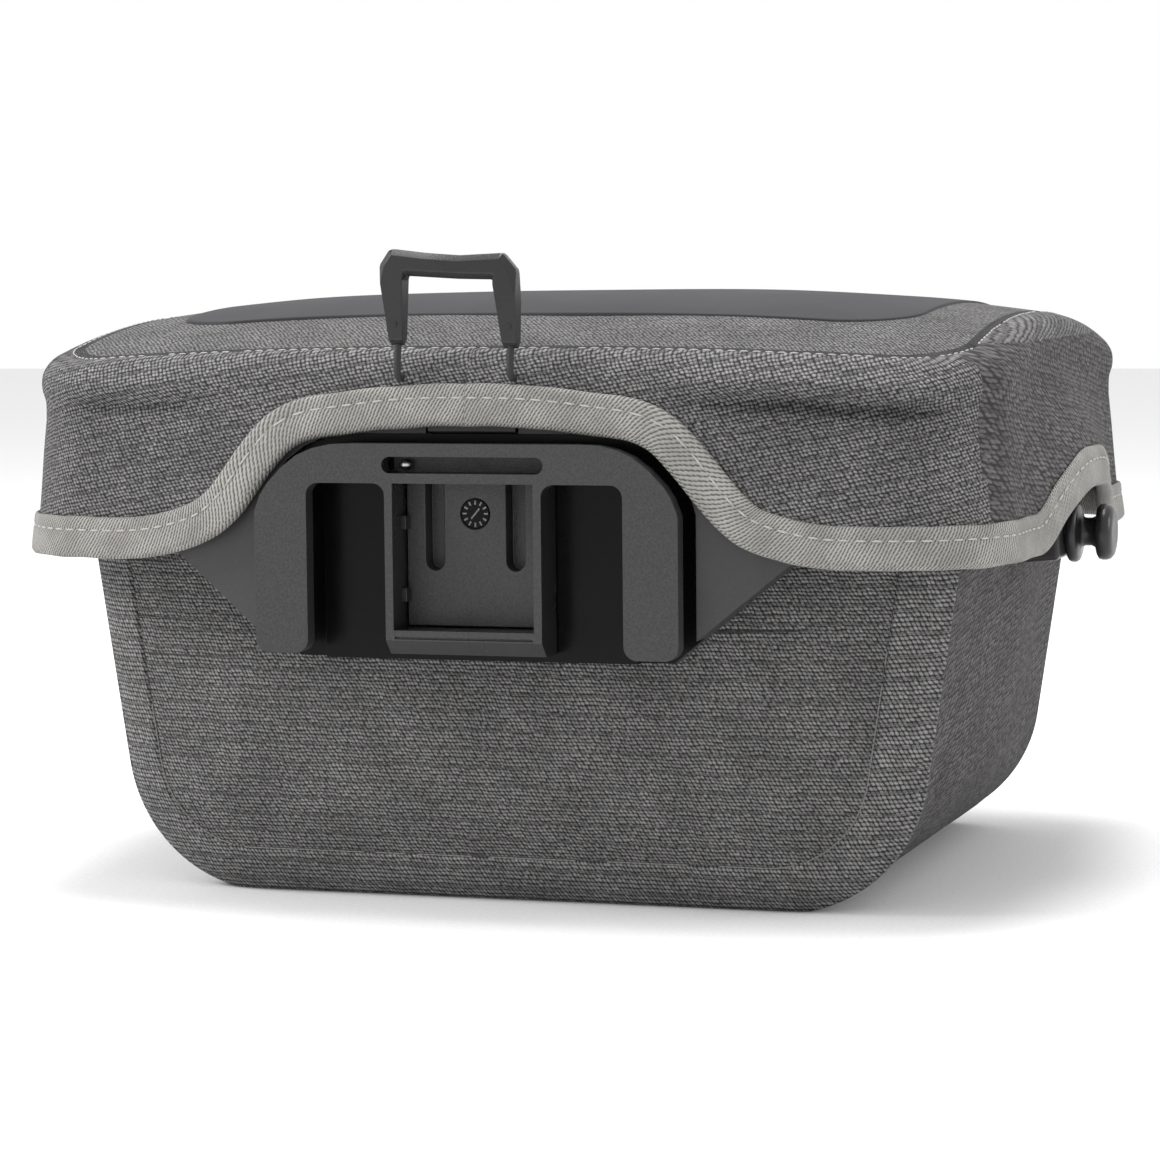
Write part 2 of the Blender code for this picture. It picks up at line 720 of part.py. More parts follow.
def make_binding(perimeter, finish, collection):
    """Make the tape that is folded around the skirt's lower edge."""
    distances = section_distances(perimeter)
    edge = []
    for distance in distances:
        plan = perimeter.place(distance)
        edge.append(skirt_edge(plan.x, plan.y))
    sections = []
    for index, distance in enumerate(distances):
        following = (index + 1) % len(edge)
        stride = (distances[following] - distances[index - 1]) % perimeter.length
        along = Vector((stride, edge[following] - edge[index - 1])).normalized()
        near = GAP
        far = GAP + BINDING_THICKNESS
        fold = BINDING_FOLD_GAP
        bottom = edge[index] - fold - BINDING_THICKNESS
        upper_at = (distance - along.y * BINDING_WIDTH, edge[index] + along.x * BINDING_WIDTH)
        section = [
            skirt_point(perimeter, distance, bottom, far),
            skirt_point(perimeter, *upper_at, far),
            skirt_point(perimeter, *upper_at, near),
            skirt_point(perimeter, distance, edge[index] - fold, near),
            skirt_point(perimeter, distance, edge[index] - fold, -LID_WALL - near),
            skirt_point(perimeter, *upper_at, -LID_WALL - near),
            skirt_point(perimeter, *upper_at, -LID_WALL - far),
            skirt_point(perimeter, distance, bottom, -LID_WALL - far),
        ]
        sections.append(section)
    surface = loft([list(row) for row in zip(*sections)], cap_ends=False)
    surface.verts.ensure_lookup_table()
    count = len(distances)
    last = len(surface.verts) - count
    for index in range(count):
        following = (index + 1) % count
        corners = (last + index, last + following, following, index)
        surface.faces.new([surface.verts[corner] for corner in corners])
    return add_object("lid_binding", mesh_of(surface, "lid_binding"), finish, collection)


# Mount


def frame_outline(grow=0.0):
    """Return the arched outline of the mount's frame, grown outwards by a distance."""
    centre = (FRAME_HALF_WIDTH - SHOULDER_SHARE * FRAME_SHOULDER, FRAME_TOP - FRAME_SHOULDER)
    start = math.degrees(math.acos(SHOULDER_SHARE))
    shoulder = arc(centre, FRAME_SHOULDER + grow, start, 90.0, 6)
    half = [(FRAME_HALF_WIDTH + grow, FRAME_BOTTOM)] + shoulder
    return mirrored(half)


def make_frame(finish, collection, cutters):
    """Make the frame: an arch with two legs, a socket between two ribs and a slot above it."""
    leg_inner = FRAME_HALF_WIDTH - LEG_WIDTH
    frame = slab("bracket_frame", frame_outline(), behind(0.0), behind(FRAME_THICKNESS), finish, collection)
    reach = LEG_CORNER
    for side in (-1, 1):
        name = "left" if side < 0 else "right"
        low = min(side * RIB_OUTER, side * leg_inner)
        high = max(side * RIB_OUTER, side * leg_inner)
        bottom = FRAME_BOTTOM - CUT_REACH
        outline = [(low, bottom), (high, bottom)]
        outline += arc((high - reach, BAR_UNDERSIDE - reach), reach, 0, 90)
        outline += arc((low + reach, BAR_UNDERSIDE - reach), reach, 90, 180)
        back = behind(FRAME_THICKNESS + CUT_REACH)
        pocket = slab("pocket_" + name, outline, behind(-CUT_REACH), back, None, cutters)
        combine(frame, pocket, "DIFFERENCE")
    ribs = block(
        "rib_block",
        (-RIB_OUTER, behind(FRAME_THICKNESS / 2), FRAME_BOTTOM),
        (RIB_OUTER, behind(POCKET_DEPTH - GAP), FRAME_TOP - RIB_TOP_DROP),
        None,
        cutters,
    )
    combine(frame, ribs, "UNION")
    socket = block(
        "socket_cut",
        (-RIB_INNER, behind(-CUT_REACH), SOCKET_BOTTOM),
        (RIB_INNER, behind(POCKET_DEPTH + CUT_REACH), BAR_UNDERSIDE),
        None,
        cutters,
    )
    combine(frame, socket, "DIFFERENCE")
    end = SLOT_HALF_LENGTH - SLOT_HEIGHT / 2
    middle = SLOT_BOTTOM + SLOT_HEIGHT / 2
    outline = arc((end, middle), SLOT_HEIGHT / 2, -90, 90) + arc((-end, middle), SLOT_HEIGHT / 2, 90, 270)
    slot = slab("slot_cut", outline, behind(-CUT_REACH), behind(SLOT_DEPTH), None, cutters)
    combine(frame, slot, "DIFFERENCE")
    high = SOCKET_BOTTOM - BLOCK_LIP
    low = FRAME_BOTTOM - CUT_MARGIN
    corners = [
        (behind(-CUT_MARGIN), low),
        (behind(-CUT_MARGIN), high),
        (behind(0.0), high),
        (behind(BLOCK_CHAMFER), low),
    ]
    ends = (-RIB_OUTER - CUT_MARGIN, RIB_OUTER + CUT_MARGIN)
    wedge = loft([[(x, y, z) for y, z in corners] for x in ends])
    chamfer = add_object("block_chamfer", mesh_of(wedge, "block_chamfer"), None, cutters)
    combine(frame, chamfer, "DIFFERENCE")
    corner_steps = []
    for side in (-1, 1):
        for edge, turn in ((FRAME_HALF_WIDTH, 1), (leg_inner, -1)):
            centre = (side * (edge - turn * reach), FRAME_BOTTOM + reach)
            tip = (side * (edge + turn * CUT_MARGIN), FRAME_BOTTOM - CUT_MARGIN)
            start = 0.0 if side * turn > 0 else 180.0
            round_points = arc(centre, reach, start, -90.0 if start == 0.0 else 270.0)
            outline = [(tip[0], centre[1])] + round_points + [(centre[0], tip[1]), tip]
            corner_steps.append(outline)
    for index, outline in enumerate(corner_steps):
        name = "leg_corner_%d" % index
        cut = slab(name, outline, behind(-CUT_MARGIN), behind(FRAME_THICKNESS + CUT_MARGIN), None, cutters)
        combine(frame, cut, "DIFFERENCE")
    for index, rise in enumerate(CATCH_RISES):
        height = SOCKET_BOTTOM + rise
        catch = block(
            "catch_%d" % index,
            (-RIB_INNER - CATCH_ROOT, behind(CATCH_BEHIND_FACE), height),
            (-RIB_INNER + CATCH_REACH, behind(SOCKET_FLOOR_DEPTH - GAP), height + CATCH_SIZE),
            None,
            cutters,
        )
        combine(frame, catch, "UNION")
    return frame


def plate_outline():
    """Return the outline of the mount's plate, with its two pointed wings."""
    tip_height = FRAME_BOTTOM + (WING_TIP - WING_LOW_CORNER) * WING_SLOPE
    half = [
        (WING_LOW_CORNER, FRAME_BOTTOM),
        (WING_TIP, tip_height),
        (WING_TIP, tip_height + WING_TIP_HEIGHT),
        (PLATE_TOP_HALF_WIDTH + PLATE_SHOULDER_WIDTH, PLATE_TOP - PLATE_SHOULDER_DROP),
        (PLATE_TOP_HALF_WIDTH, PLATE_TOP),
    ]
    return mirrored(half)


def plate_profile():
    """Return the plate's section in plan: wings swept back, and a back that follows the bag."""
    rim_edge = FRAME_HALF_WIDTH + RIM_GAP
    beyond = WING_TIP + CUT_REACH
    front = [(rim_edge, behind(PLATE_RIM_BEHIND_FACE))]
    swept = PLATE_RIM_BEHIND_FACE + WING_SWEEP * (beyond - rim_edge)
    front.append((beyond, behind(swept)))
    levels = [FRAME_BOTTOM + share * (PLATE_TOP - FRAME_BOTTOM) for share in PLATE_LEVELS]
    back = []
    for share in (1.0, 0.85, 0.7, 0.5, 0.25, 0.0):
        across = share * beyond
        depth = min(rear_surface(across, height) for height in levels)
        back.append((across, depth - 2 * GAP))
    half = front + back
    outline = [(x, y) for x, y in half]
    outline += [(-x, y) for x, y in reversed(half) if x > 0.0]
    return outline


def make_plate(finish, collection, cutters):
    """Make the plate behind the frame, recessed for the frame, the socket insert and the tab."""
    front = behind(PLATE_RIM_BEHIND_FACE - CUT_REACH)
    plate = slab("bracket_plate", plate_outline(), front, behind(SEAM_BEHIND_FACE), finish, collection)
    low = FRAME_BOTTOM - CUT_REACH
    profile = slab("plate_profile", plate_profile(), low, PLATE_TOP + CUT_REACH, None, cutters, "Z")
    combine(plate, profile, "INTERSECT")
    outline = lowered(frame_outline(RIM_GAP))
    recess = slab("frame_recess", outline, front, behind(POCKET_DEPTH), None, cutters)
    combine(plate, recess, "DIFFERENCE")
    leg_inner = FRAME_HALF_WIDTH - LEG_WIDTH
    for side, name in ((-1, "left"), (1, "right")):
        low = min(side * leg_inner, side * (FRAME_HALF_WIDTH + RIM_GAP))
        high = max(side * leg_inner, side * (FRAME_HALF_WIDTH + RIM_GAP))
        channel = block(
            "channel_" + name,
            (low, behind(POCKET_DEPTH - CUT_MARGIN), FRAME_BOTTOM - CUT_REACH),
            (high, behind(POCKET_DEPTH + LEG_CHANNEL_DEPTH), BAR_UNDERSIDE - LEG_CHANNEL_DROP),
            None,
            cutters,
        )
        combine(plate, channel, "DIFFERENCE")
    seat = block(
        "insert_seat",
        (-RIB_INNER, behind(PLATE_RIM_BEHIND_FACE), SOCKET_BOTTOM),
        (RIB_INNER, behind(SOCKET_FLOOR_DEPTH + INSERT_THICKNESS + GAP), BAR_UNDERSIDE),
        None,
        cutters,
    )
    combine(plate, seat, "DIFFERENCE")
    notch = slab("tab_notch", tab_outline(GAP), front, tab_back() + GAP, None, cutters)
    combine(plate, notch, "DIFFERENCE")
    return plate


def lowered(outline):
    """Return an outline whose lowest points reach below the plate, so that a cut opens downwards."""
    bottom = min(up for across, up in outline)
    return [(across, up - CUT_REACH if up <= bottom else up) for across, up in outline]


def tab_outline(grow=0.0):
    """Return the T-shaped outline of the release tab, grown outwards by a clearance."""
    top = PLATE_TOP + (CUT_REACH if grow else 0.0)
    low = FRAME_TOP + RIM_GAP + TAB_RIDGE + GAP
    half = [
        (TAB_HALF_WIDTH + grow, low - grow),
        (TAB_HALF_WIDTH + grow, PLATE_TOP - TAB_ARM_HEIGHT - grow),
        (TAB_ARM_HALF_WIDTH + grow, PLATE_TOP - TAB_ARM_TIP_HEIGHT - grow),
        (TAB_ARM_HALF_WIDTH + grow, top),
    ]
    return mirrored(half)


def tab_back():
    """Return the Y of the release tab's back face."""
    return behind(TAB_BEHIND_FACE + TAB_THICKNESS)


def make_insert(finish, collection, cutters):
    """Make the socket insert, with two long slots and a round seat for its dial."""
    insert = block(
        "socket_insert",
        (-RIB_INNER + GAP, behind(SOCKET_FLOOR_DEPTH), SOCKET_BOTTOM + GAP),
        (RIB_INNER - GAP, behind(SOCKET_FLOOR_DEPTH + INSERT_THICKNESS), BAR_UNDERSIDE - GAP),
        finish,
        collection,
    )
    radius = INSERT_SLOT_WIDTH / 2
    for side, name in ((-1, "left"), (1, "right")):
        middle = side * INSERT_SLOT_X
        outline = arc((middle, BAR_UNDERSIDE - INSERT_SLOT_LENGTH + radius), radius, 180, 360)
        top = BAR_UNDERSIDE + CUT_REACH
        outline += [(middle + radius, top), (middle - radius, top)]
        back = behind(SOCKET_FLOOR_DEPTH + INSERT_THICKNESS + CUT_REACH)
        front = behind(SOCKET_FLOOR_DEPTH - CUT_REACH)
        cut = slab("insert_slot_" + name, outline, front, back, None, cutters)
        combine(insert, cut, "DIFFERENCE")
    seat = slab(
        "dial_seat",
        arc((0.0, DIAL_HEIGHT), DIAL_RADIUS + GAP, 0, 360, 20)[:-1],
        behind(SOCKET_FLOOR_DEPTH - CUT_REACH),
        behind(SOCKET_FLOOR_DEPTH + DIAL_DEPTH),
        None,
        cutters,
    )
    combine(insert, seat, "DIFFERENCE")
    return insert


def make_dial(finish, collection):
    """Make the small round dial in the socket's floor."""
    return slab(
        "socket_dial",
        arc((0.0, DIAL_HEIGHT), DIAL_RADIUS, 0, 360, 20)[:-1],
        behind(SOCKET_FLOOR_DEPTH + GAP),
        behind(SOCKET_FLOOR_DEPTH + DIAL_DEPTH - GAP),
        finish,
        collection,
    )


def make_slot_pin(finish, collection):
    """Make the small bright pin at the left end of the slot."""
    across = -SLOT_HALF_LENGTH + SLOT_PIN_INSET
    height = SLOT_BOTTOM + SLOT_PIN_RISE * SLOT_HEIGHT
    path = [(across, behind(depth), height) for depth in (SLOT_PIN_DEPTH, SLOT_DEPTH - GAP)]
    return tube("slot_pin", path, SLOT_PIN_RADIUS, finish, collection)


def make_tab(finish, collection):
    """Make the release tab between the frame and the lid's arch."""
    return slab("release_tab", tab_outline(), behind(TAB_BEHIND_FACE), tab_back(), finish, collection)


# Pull handle and cords


def foot_x(side):
    """Return the X of a foot of the handle, where its cord goes in."""
    return HANDLE_X + side * HANDLE_HALF_SPACING


def make_handle(finish, collection):
    """Make the pull handle: a loop of octagonal section with tapered legs."""
    low = HANDLE_FOOT_HEIGHT
    high = HANDLE_TOP_HEIGHT
    cut = HANDLE_CHAMFER
    half = [
        (HANDLE_HALF_SPACING, low, HANDLE_FOOT_RADIUS),
        (HANDLE_HALF_SPACING + HANDLE_SPREAD, high - cut, HANDLE_RADIUS),
        (HANDLE_HALF_SPACING - cut * 0.8, high, HANDLE_RADIUS),
        (HANDLE_HALF_SPACING * 0.4, high - HANDLE_SAG * 0.8, HANDLE_RADIUS),
    ]
    middle = (0.0, high - HANDLE_SAG, HANDLE_RADIUS)
    route = [(-x, z, r) for x, z, r in half] + [middle] + list(reversed(half))
    path = []
    radii = []
    for x, z, r in route:
        rise = (z - low) / (high - low)
        path.append((HANDLE_X + x + HANDLE_LEAN * rise, behind(HANDLE_BEHIND_FACE), z))
        radii.append(r / HANDLE_RADIUS)
    return tube("pull_handle", path, HANDLE_RADIUS, finish, collection, radii)


def make_cord(side, finish, collection):
    """Make one cord, from the release tab through the skirt's eyelet up to the handle."""
    name = "pull_cord_left" if side < 0 else "pull_cord_right"
    path = [(foot_x(side), behind(depth), CORD_HOLE_HEIGHT + rise) for depth, rise in CORD_ROUTE]
    return tube(name, path, CORD_RADIUS, finish, collection)


def cut_eyelets(lid, cutters):
    """Cut the two holes through the skirt for the cords."""
    front = behind(SKIRT_BEHIND_FACE - CUT_REACH)
    back = behind(SKIRT_BEHIND_FACE + LID_WALL + CUT_REACH)
    for side, name in ((-1, "left"), (1, "right")):
        radius = CORD_RADIUS + 2 * GAP
        outline = arc((foot_x(side), CORD_HOLE_HEIGHT), radius, 0, 360, 12)[:-1]
        hole = slab("eyelet_" + name, outline, front, back, None, cutters)
        combine(lid, hole, "DIFFERENCE")


# Side knobs


def make_arm(side, finish, collection):
    """Make the block that carries a knob, seated against the leaning gusset."""
    name = "knob_arm_left" if side < 0 else "knob_arm_right"
    low = KNOB_HEIGHT - KNOB_ARM_HEIGHT / 2
    sections = []
    for height in (low, low + KNOB_ARM_HEIGHT):
        inner = side * (body_half_width(height) + GAP)
        outer = side * KNOB_ARM_REACH
        near = behind(KNOB_BEHIND_FACE) - KNOB_ARM_DEPTH / 2
        far = behind(KNOB_BEHIND_FACE) + KNOB_ARM_DEPTH / 2
        corners = ((inner, near), (outer, near), (outer, far), (inner, far))
        sections.append([(x, y, height) for x, y in corners])
    return add_object(name, mesh_of(loft(sections), name), finish, collection)


def make_knob(side, finish, collection):
    """Make one knob, turned about a sideways axis: a flange, a neck and a rounded head."""
    name = "knob_left" if side < 0 else "knob_right"
    start = KNOB_ARM_REACH + GAP
    neck = start + KNOB_FLANGE_THICKNESS
    head = neck + KNOB_NECK_LENGTH
    end = head + KNOB_HEAD_THICKNESS
    soft = KNOB_HEAD_THICKNESS / 4
    profile = [
        (start, 0.0),
        (start, KNOB_FLANGE_RADIUS - soft),
        (start + soft, KNOB_FLANGE_RADIUS),
        (neck - soft, KNOB_FLANGE_RADIUS),
        (neck, KNOB_FLANGE_RADIUS - soft),
        (neck, KNOB_NECK_RADIUS),
        (head, KNOB_NECK_RADIUS),
        (head, KNOB_HEAD_RADIUS - soft),
        (head + soft, KNOB_HEAD_RADIUS),
        (end - soft, KNOB_HEAD_RADIUS),
        (end, KNOB_HEAD_RADIUS - soft),
        (end, 0.0),
    ]
    outline = bmesh.new()
    points = [outline.verts.new((0.0, radius, reach)) for reach, radius in profile]
    for first, second in zip(points, points[1:]):
        outline.edges.new((first, second))
    mesh = bpy.data.meshes.new(name)
    outline.to_mesh(mesh)
    outline.free()
    knob = add_object(name, mesh, finish, collection)
    knob.rotation_euler = (0.0, side * math.pi / 2, 0.0)
    knob.location = (0.0, behind(KNOB_BEHIND_FACE), KNOB_HEIGHT)
    turn = knob.modifiers.new("turn", "SCREW")
    turn.axis = "Z"
    turn.steps = 20
    turn.render_steps = 20
    turn.use_merge_vertices = True
    turn.merge_threshold = 0.00005
    turn.use_normal_calculate = True
    return knob


def build():
    """Build the whole bag, piece by piece."""
    for leftover in list(bpy.data.objects):
        bpy.data.objects.remove(leftover)
    parts = bpy.data.collections.new(OBJECT_NAME)
    cutters = bpy.data.collections.new("cutters")
    bpy.context.scene.collection.children.link(parts)
    bpy.context.scene.collection.children.link(cutters)

    woven = material("woven_fabric", (0.115, 0.112, 0.114), 0.85)
    smooth = material("window_film", (0.075, 0.072, 0.078), 0.45)
    tape = material("binding_tape", (0.330, 0.325, 0.300), 0.80)
    plastic = material("bracket_plastic", (0.045, 0.046, 0.048), 0.50)
    dark = material("dark_plastic", (0.020, 0.020, 0.021), 0.35)
    cord = material("black_cord", (0.015, 0.015, 0.015), 0.80)
    bright = material("bright_pin", (0.550, 0.550, 0.540), 0.30)

    make_body(woven, parts)
    make_band(woven, parts)
    perimeter = Perimeter()
    lid = make_lid(perimeter, woven, parts)
    cut_eyelets(lid, cutters)
    make_window(perimeter, smooth, parts)
    make_binding(perimeter, tape, parts)

    make_plate(dark, parts, cutters)
    make_frame(plastic, parts, cutters)
    make_insert(plastic, parts, cutters)
    make_dial(dark, parts)
    make_slot_pin(bright, parts)
    make_tab(dark, parts)

    make_handle(dark, parts)
    for side in (-1, 1):
        make_cord(side, cord, parts)
        make_arm(side, dark, parts)
        make_knob(side, dark, parts)


build()
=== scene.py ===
"""Dress the frame of a bicycle handlebar bag: knitted body, domed lid, bound skirt and handlebar mount.

Lengths are in millimetres until a point is placed, and depths are counted back from the mount's face.
"""

import logging
import math
from bisect import bisect_right
from dataclasses import dataclass, field
from enum import Enum
from typing import Callable, Sequence

import bmesh
import bpy
from mathutils import Matrix, Vector, noise


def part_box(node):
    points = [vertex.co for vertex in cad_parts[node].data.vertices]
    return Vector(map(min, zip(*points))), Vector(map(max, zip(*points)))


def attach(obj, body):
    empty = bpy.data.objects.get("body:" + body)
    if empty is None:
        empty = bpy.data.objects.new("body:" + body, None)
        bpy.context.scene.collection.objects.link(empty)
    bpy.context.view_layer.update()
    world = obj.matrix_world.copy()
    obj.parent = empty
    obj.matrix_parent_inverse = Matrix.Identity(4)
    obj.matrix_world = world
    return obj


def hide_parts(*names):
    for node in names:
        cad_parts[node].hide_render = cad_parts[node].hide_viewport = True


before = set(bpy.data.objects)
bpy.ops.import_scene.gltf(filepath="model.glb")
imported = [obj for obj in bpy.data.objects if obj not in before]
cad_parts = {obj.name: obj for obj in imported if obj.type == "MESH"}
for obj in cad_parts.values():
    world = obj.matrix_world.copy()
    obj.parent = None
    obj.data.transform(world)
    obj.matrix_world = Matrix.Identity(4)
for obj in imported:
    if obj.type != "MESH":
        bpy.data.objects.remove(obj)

LOG = logging.getLogger("handlebar_bag")
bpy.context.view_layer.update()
FACE_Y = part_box("bracket_frame")[0][1]
MM = 0.001
Table = Sequence[tuple[float, float]]
Place = Callable[[float, float], Vector]


class Slot(Enum):
    """Material slots of the part's record."""

    FABRIC = "woven_fabric"
    FILM = "window_film"
    TAPE = "binding_tape"
    BRACKET = "bracket_plastic"
    DARK = "dark_plastic"
    CORD = "black_cord"
    PIN = "bright_pin"


class Side(Enum):
    """The two sides of the bag, as the rider sees them."""

    LEFT = -1
    RIGHT = 1


def at(across: float, behind: float, height: float) -> Vector:
    """Place a point of the bag.

    Args:
        across: Distance to the right of the middle, in millimetres.
        behind: Distance behind the mount's front face, in millimetres.
        height: Height above the bag's bottom, in millimetres.

    Returns:
        The point in metres, in the frame's axes.
    """
    return Vector((across * MM, FACE_Y + behind * MM, height * MM))


def smooth(value: float, low: float, high: float) -> float:
    """Ease from 0 to 1 as a value goes from low to high.

    Args:
        value: The value to grade.
        low: Where the result starts to rise from 0.
        high: Where the result reaches 1.

    Returns:
        The eased share, from 0 to 1.
    """
    share = min(1.0, max(0.0, (value - low) / (high - low)))
    return share * share * (3.0 - 2.0 * share)


def curve(table: Table, where: float) -> float:
    """Read a smooth curve through the rows of a table.

    Args:
        table: Rows of position and value, with rising positions.
        where: The position to read.

    Returns:
        The value there, held level beyond both ends.
    """
    if where <= table[0][0]:
        return table[0][1]
    if where >= table[-1][0]:
        return table[-1][1]
    index = max(1, min(len(table) - 1, bisect_right([row[0] for row in table], where)))
    (x0, y0), (x1, y1) = table[index - 1], table[index]
    span = x1 - x0
    before = table[index - 2] if index >= 2 else table[index - 1]
    after = table[index + 1] if index + 1 < len(table) else table[index]
    start = (y1 - before[1]) / (x1 - before[0])
    end = (after[1] - y0) / (after[0] - x0)
    t = (where - x0) / span
    return (
        (2 * t**3 - 3 * t**2 + 1) * y0
        + (t**3 - 2 * t**2 + t) * span * start
        + (3 * t**2 - 2 * t**3) * y1
        + (t**3 - t**2) * span * end
    )


def ripple(a: float, b: float, size: float, seed: float = 0.0) -> float:
    """Give a soft, fixed unevenness of cloth.

    Args:
        a: First coordinate on the cloth, in millimetres.
        b: Second coordinate on the cloth, in millimetres.
        size: Typical width of a swell, in millimetres.
        seed: Shifts to another part of the pattern.

    Returns:
        A value around 0, mostly between -0.5 and 0.5.
    """
    return noise.noise(Vector((a / size, b / size, seed)))


# Finishes


class Graph:
    """Short hand for placing and linking shader nodes in one tree."""

    def __init__(self, tree: bpy.types.NodeTree) -> None:
        """Keep the tree to work in."""
        self.tree = tree

    def node(self, kind: str, **settings: object) -> bpy.types.Node:
        """Add a node.

        Args:
            kind: The node's type, without its leading "ShaderNode".
            settings: Attributes to set on the node.

        Returns:
            The new node.
        """
        made = self.tree.nodes.new("ShaderNode" + kind)
        for key, value in settings.items():
            setattr(made, key, value)
        return made

    def feed(self, socket: bpy.types.NodeSocket, value: object) -> None:
        """Link an output to a socket, or set the socket's own value.

        Args:
            socket: The input socket.
            value: An output socket, or a number, colour or vector.
        """
        if isinstance(value, bpy.types.NodeSocket):
            self.tree.links.new(value, socket)
        else:
            socket.default_value = value

    def math(self, operation: str, a: object, b: object = 0.0) -> bpy.types.NodeSocket:
        """Add a Math node.

        Args:
            operation: The node's operation.
            a: First operand, a number or an output socket.
            b: Second operand.

        Returns:
            The node's output.
        """
        made = self.node("Math", operation=operation)
        self.feed(made.inputs[0], a)
        self.feed(made.inputs[1], b)
        return made.outputs[0]

    def ramp(
        self, value: object, low: float, high: float, start: float = 0.0, end: float = 1.0
    ) -> bpy.types.NodeSocket:
        """Map a value smoothly from one range to another.

        Args:
            value: The value to map.
            low: Value that gives start.
            high: Value that gives end.
            start: Result at low.
            end: Result at high.

        Returns:
            The mapped value's socket.
        """
        made = self.node("MapRange", interpolation_type="SMOOTHSTEP")
        for socket, number in zip(made.inputs, (value, low, high, start, end)):
            self.feed(socket, number)
        return made.outputs[0]

    def noise(
        self, vector: object, scale: float, detail: float = 2.0, roughness: float = 0.5
    ) -> bpy.types.NodeSocket:
        """Add a Noise texture.

        Args:
            vector: The coordinates' socket.
            scale: Swells per metre.
            detail: Octaves.
            roughness: Weight of the finer octaves.

        Returns:
            The texture's factor.
        """
        made = self.node("TexNoise")
        self.feed(made.inputs["Vector"], vector)
        self.feed(made.inputs["Scale"], scale)
        self.feed(made.inputs["Detail"], detail)
        self.feed(made.inputs["Roughness"], roughness)
        return made.outputs["Fac"]

    def mix(self, factor: object, first: object, second: object) -> bpy.types.NodeSocket:
        """Blend two colours.

        Args:
            factor: Share of the second colour.
            first: A colour or its socket.
            second: A colour or its socket.

        Returns:
            The blended colour's socket.
        """
        made = self.node("Mix", data_type="RGBA")
        self.feed(made.inputs[0], factor)
        self.feed(made.inputs[6], first)
        self.feed(made.inputs[7], second)
        return made.outputs[2]

    def sway(self, source: object, width: object) -> bpy.types.NodeSocket:
        """Centre a factor on 0 and scale it.

        Args:
            source: A socket that runs from 0 to 1.
            width: The width that it is scaled to.

        Returns:
            The swaying value's socket.
        """
        return self.math("MULTIPLY", self.math("SUBTRACT", source, 0.5), width)

    def bump(self, height: object, distance: float) -> bpy.types.NodeSocket:
        """Add a Bump node.

        Args:
            height: The height's socket.
            distance: Height of a full step, in metres.

        Returns:
            The bent normal's socket.
        """
        made = self.node("Bump")
        self.feed(made.inputs["Height"], height)
        made.inputs["Distance"].default_value = distance
        made.inputs["Strength"].default_value = 1.0
        return made.outputs["Normal"]


def group(
    name: str, inputs: dict[str, object], outputs: Sequence[str], fill: Callable[..., dict]
) -> bpy.types.NodeTree:
    """Return a shader node group, building it the first time it is asked for.

    Args:
        name: The group's name.
        inputs: Input names with their defaults. None stands for a vector.
        outputs: Names of the float outputs.
        fill: Called with a Graph and the group's input node; returns the sockets by output name.

    Returns:
        The node group.
    """
    if name in bpy.data.node_groups:
        return bpy.data.node_groups[name]
    tree = bpy.data.node_groups.new(name, "ShaderNodeTree")
    for key, value in inputs.items():
        kind = "NodeSocketVector" if value is None else "NodeSocketFloat"
        socket = tree.interface.new_socket(key, in_out="INPUT", socket_type=kind)
        if value is not None:
            socket.default_value = value
    for key in outputs:
        tree.interface.new_socket(key, in_out="OUTPUT", socket_type="NodeSocketFloat")
    source = tree.nodes.new("NodeGroupInput")
    result = tree.nodes.new("NodeGroupOutput")
    for key, value in fill(Graph(tree), source).items():
        tree.links.new(value, result.inputs[key])
    return tree


def fill_knit(graph: Graph, source: bpy.types.Node) -> dict[str, bpy.types.NodeSocket]:
    """Draw a knit of small uneven loops in staggered rows, with dark gaps between them.

    Args:
        graph: The group's graph.
        source: The group's input node.

    Returns:
        Sockets for the loops' height, the gaps' mask and the loops' uneven tone.
    """
    vector = source.outputs["Vector"]
    split = graph.node("SeparateXYZ")
    graph.feed(split.inputs[0], vector)
    bend = graph.sway(graph.noise(vector, 160.0, 2.0), source.outputs["Wander"])
    x = graph.math("ADD", split.outputs[0], bend)
    y = graph.math("ADD", split.outputs[1], graph.math("MULTIPLY", x, source.outputs["Climb"]))
    y = graph.math("ADD", y, bend)
    row = graph.math("DIVIDE", y, source.outputs["Height"])
    stagger = graph.math("MULTIPLY", row, 0.5)
    column = graph.math("ADD", graph.math("DIVIDE", x, source.outputs["Width"]), stagger)
    joined = graph.node("CombineXYZ")
    graph.feed(joined.inputs[0], column)
    graph.feed(joined.inputs[1], row)
    cells = graph.node("TexVoronoi", voronoi_dimensions="2D", feature="F1")
    graph.feed(cells.inputs["Vector"], joined.outputs[0])
    cells.inputs["Scale"].default_value = 1.0
    graph.feed(cells.inputs["Randomness"], source.outputs["Uneven"])
    chance = graph.node("SeparateColor")
    graph.feed(chance.inputs[0], cells.outputs["Color"])
    fibre = graph.noise(joined.outputs[0], 5.0, 2.0, 0.6)
    loose = graph.sway(fibre, 0.30)
    spread = graph.math("ADD", cells.outputs["Distance"], loose)
    course = graph.math("SINE", graph.math("MULTIPLY", graph.math("ADD", row, loose), math.pi * 0.8))
    broken = graph.ramp(fibre, 0.35, 0.65, 0.1, 0.8)
    course = graph.math("MULTIPLY", graph.ramp(course, 0.72, 1.0), broken)
    hole = graph.math("MAXIMUM", graph.math("MULTIPLY", graph.ramp(spread, 0.26, 0.58), 0.92), course)
    tone = graph.math("ADD", graph.sway(chance.outputs[1], 0.28), fibre)
    return {"Loop": graph.ramp(spread, 0.62, 0.12), "Hole": hole, "Tone": tone}


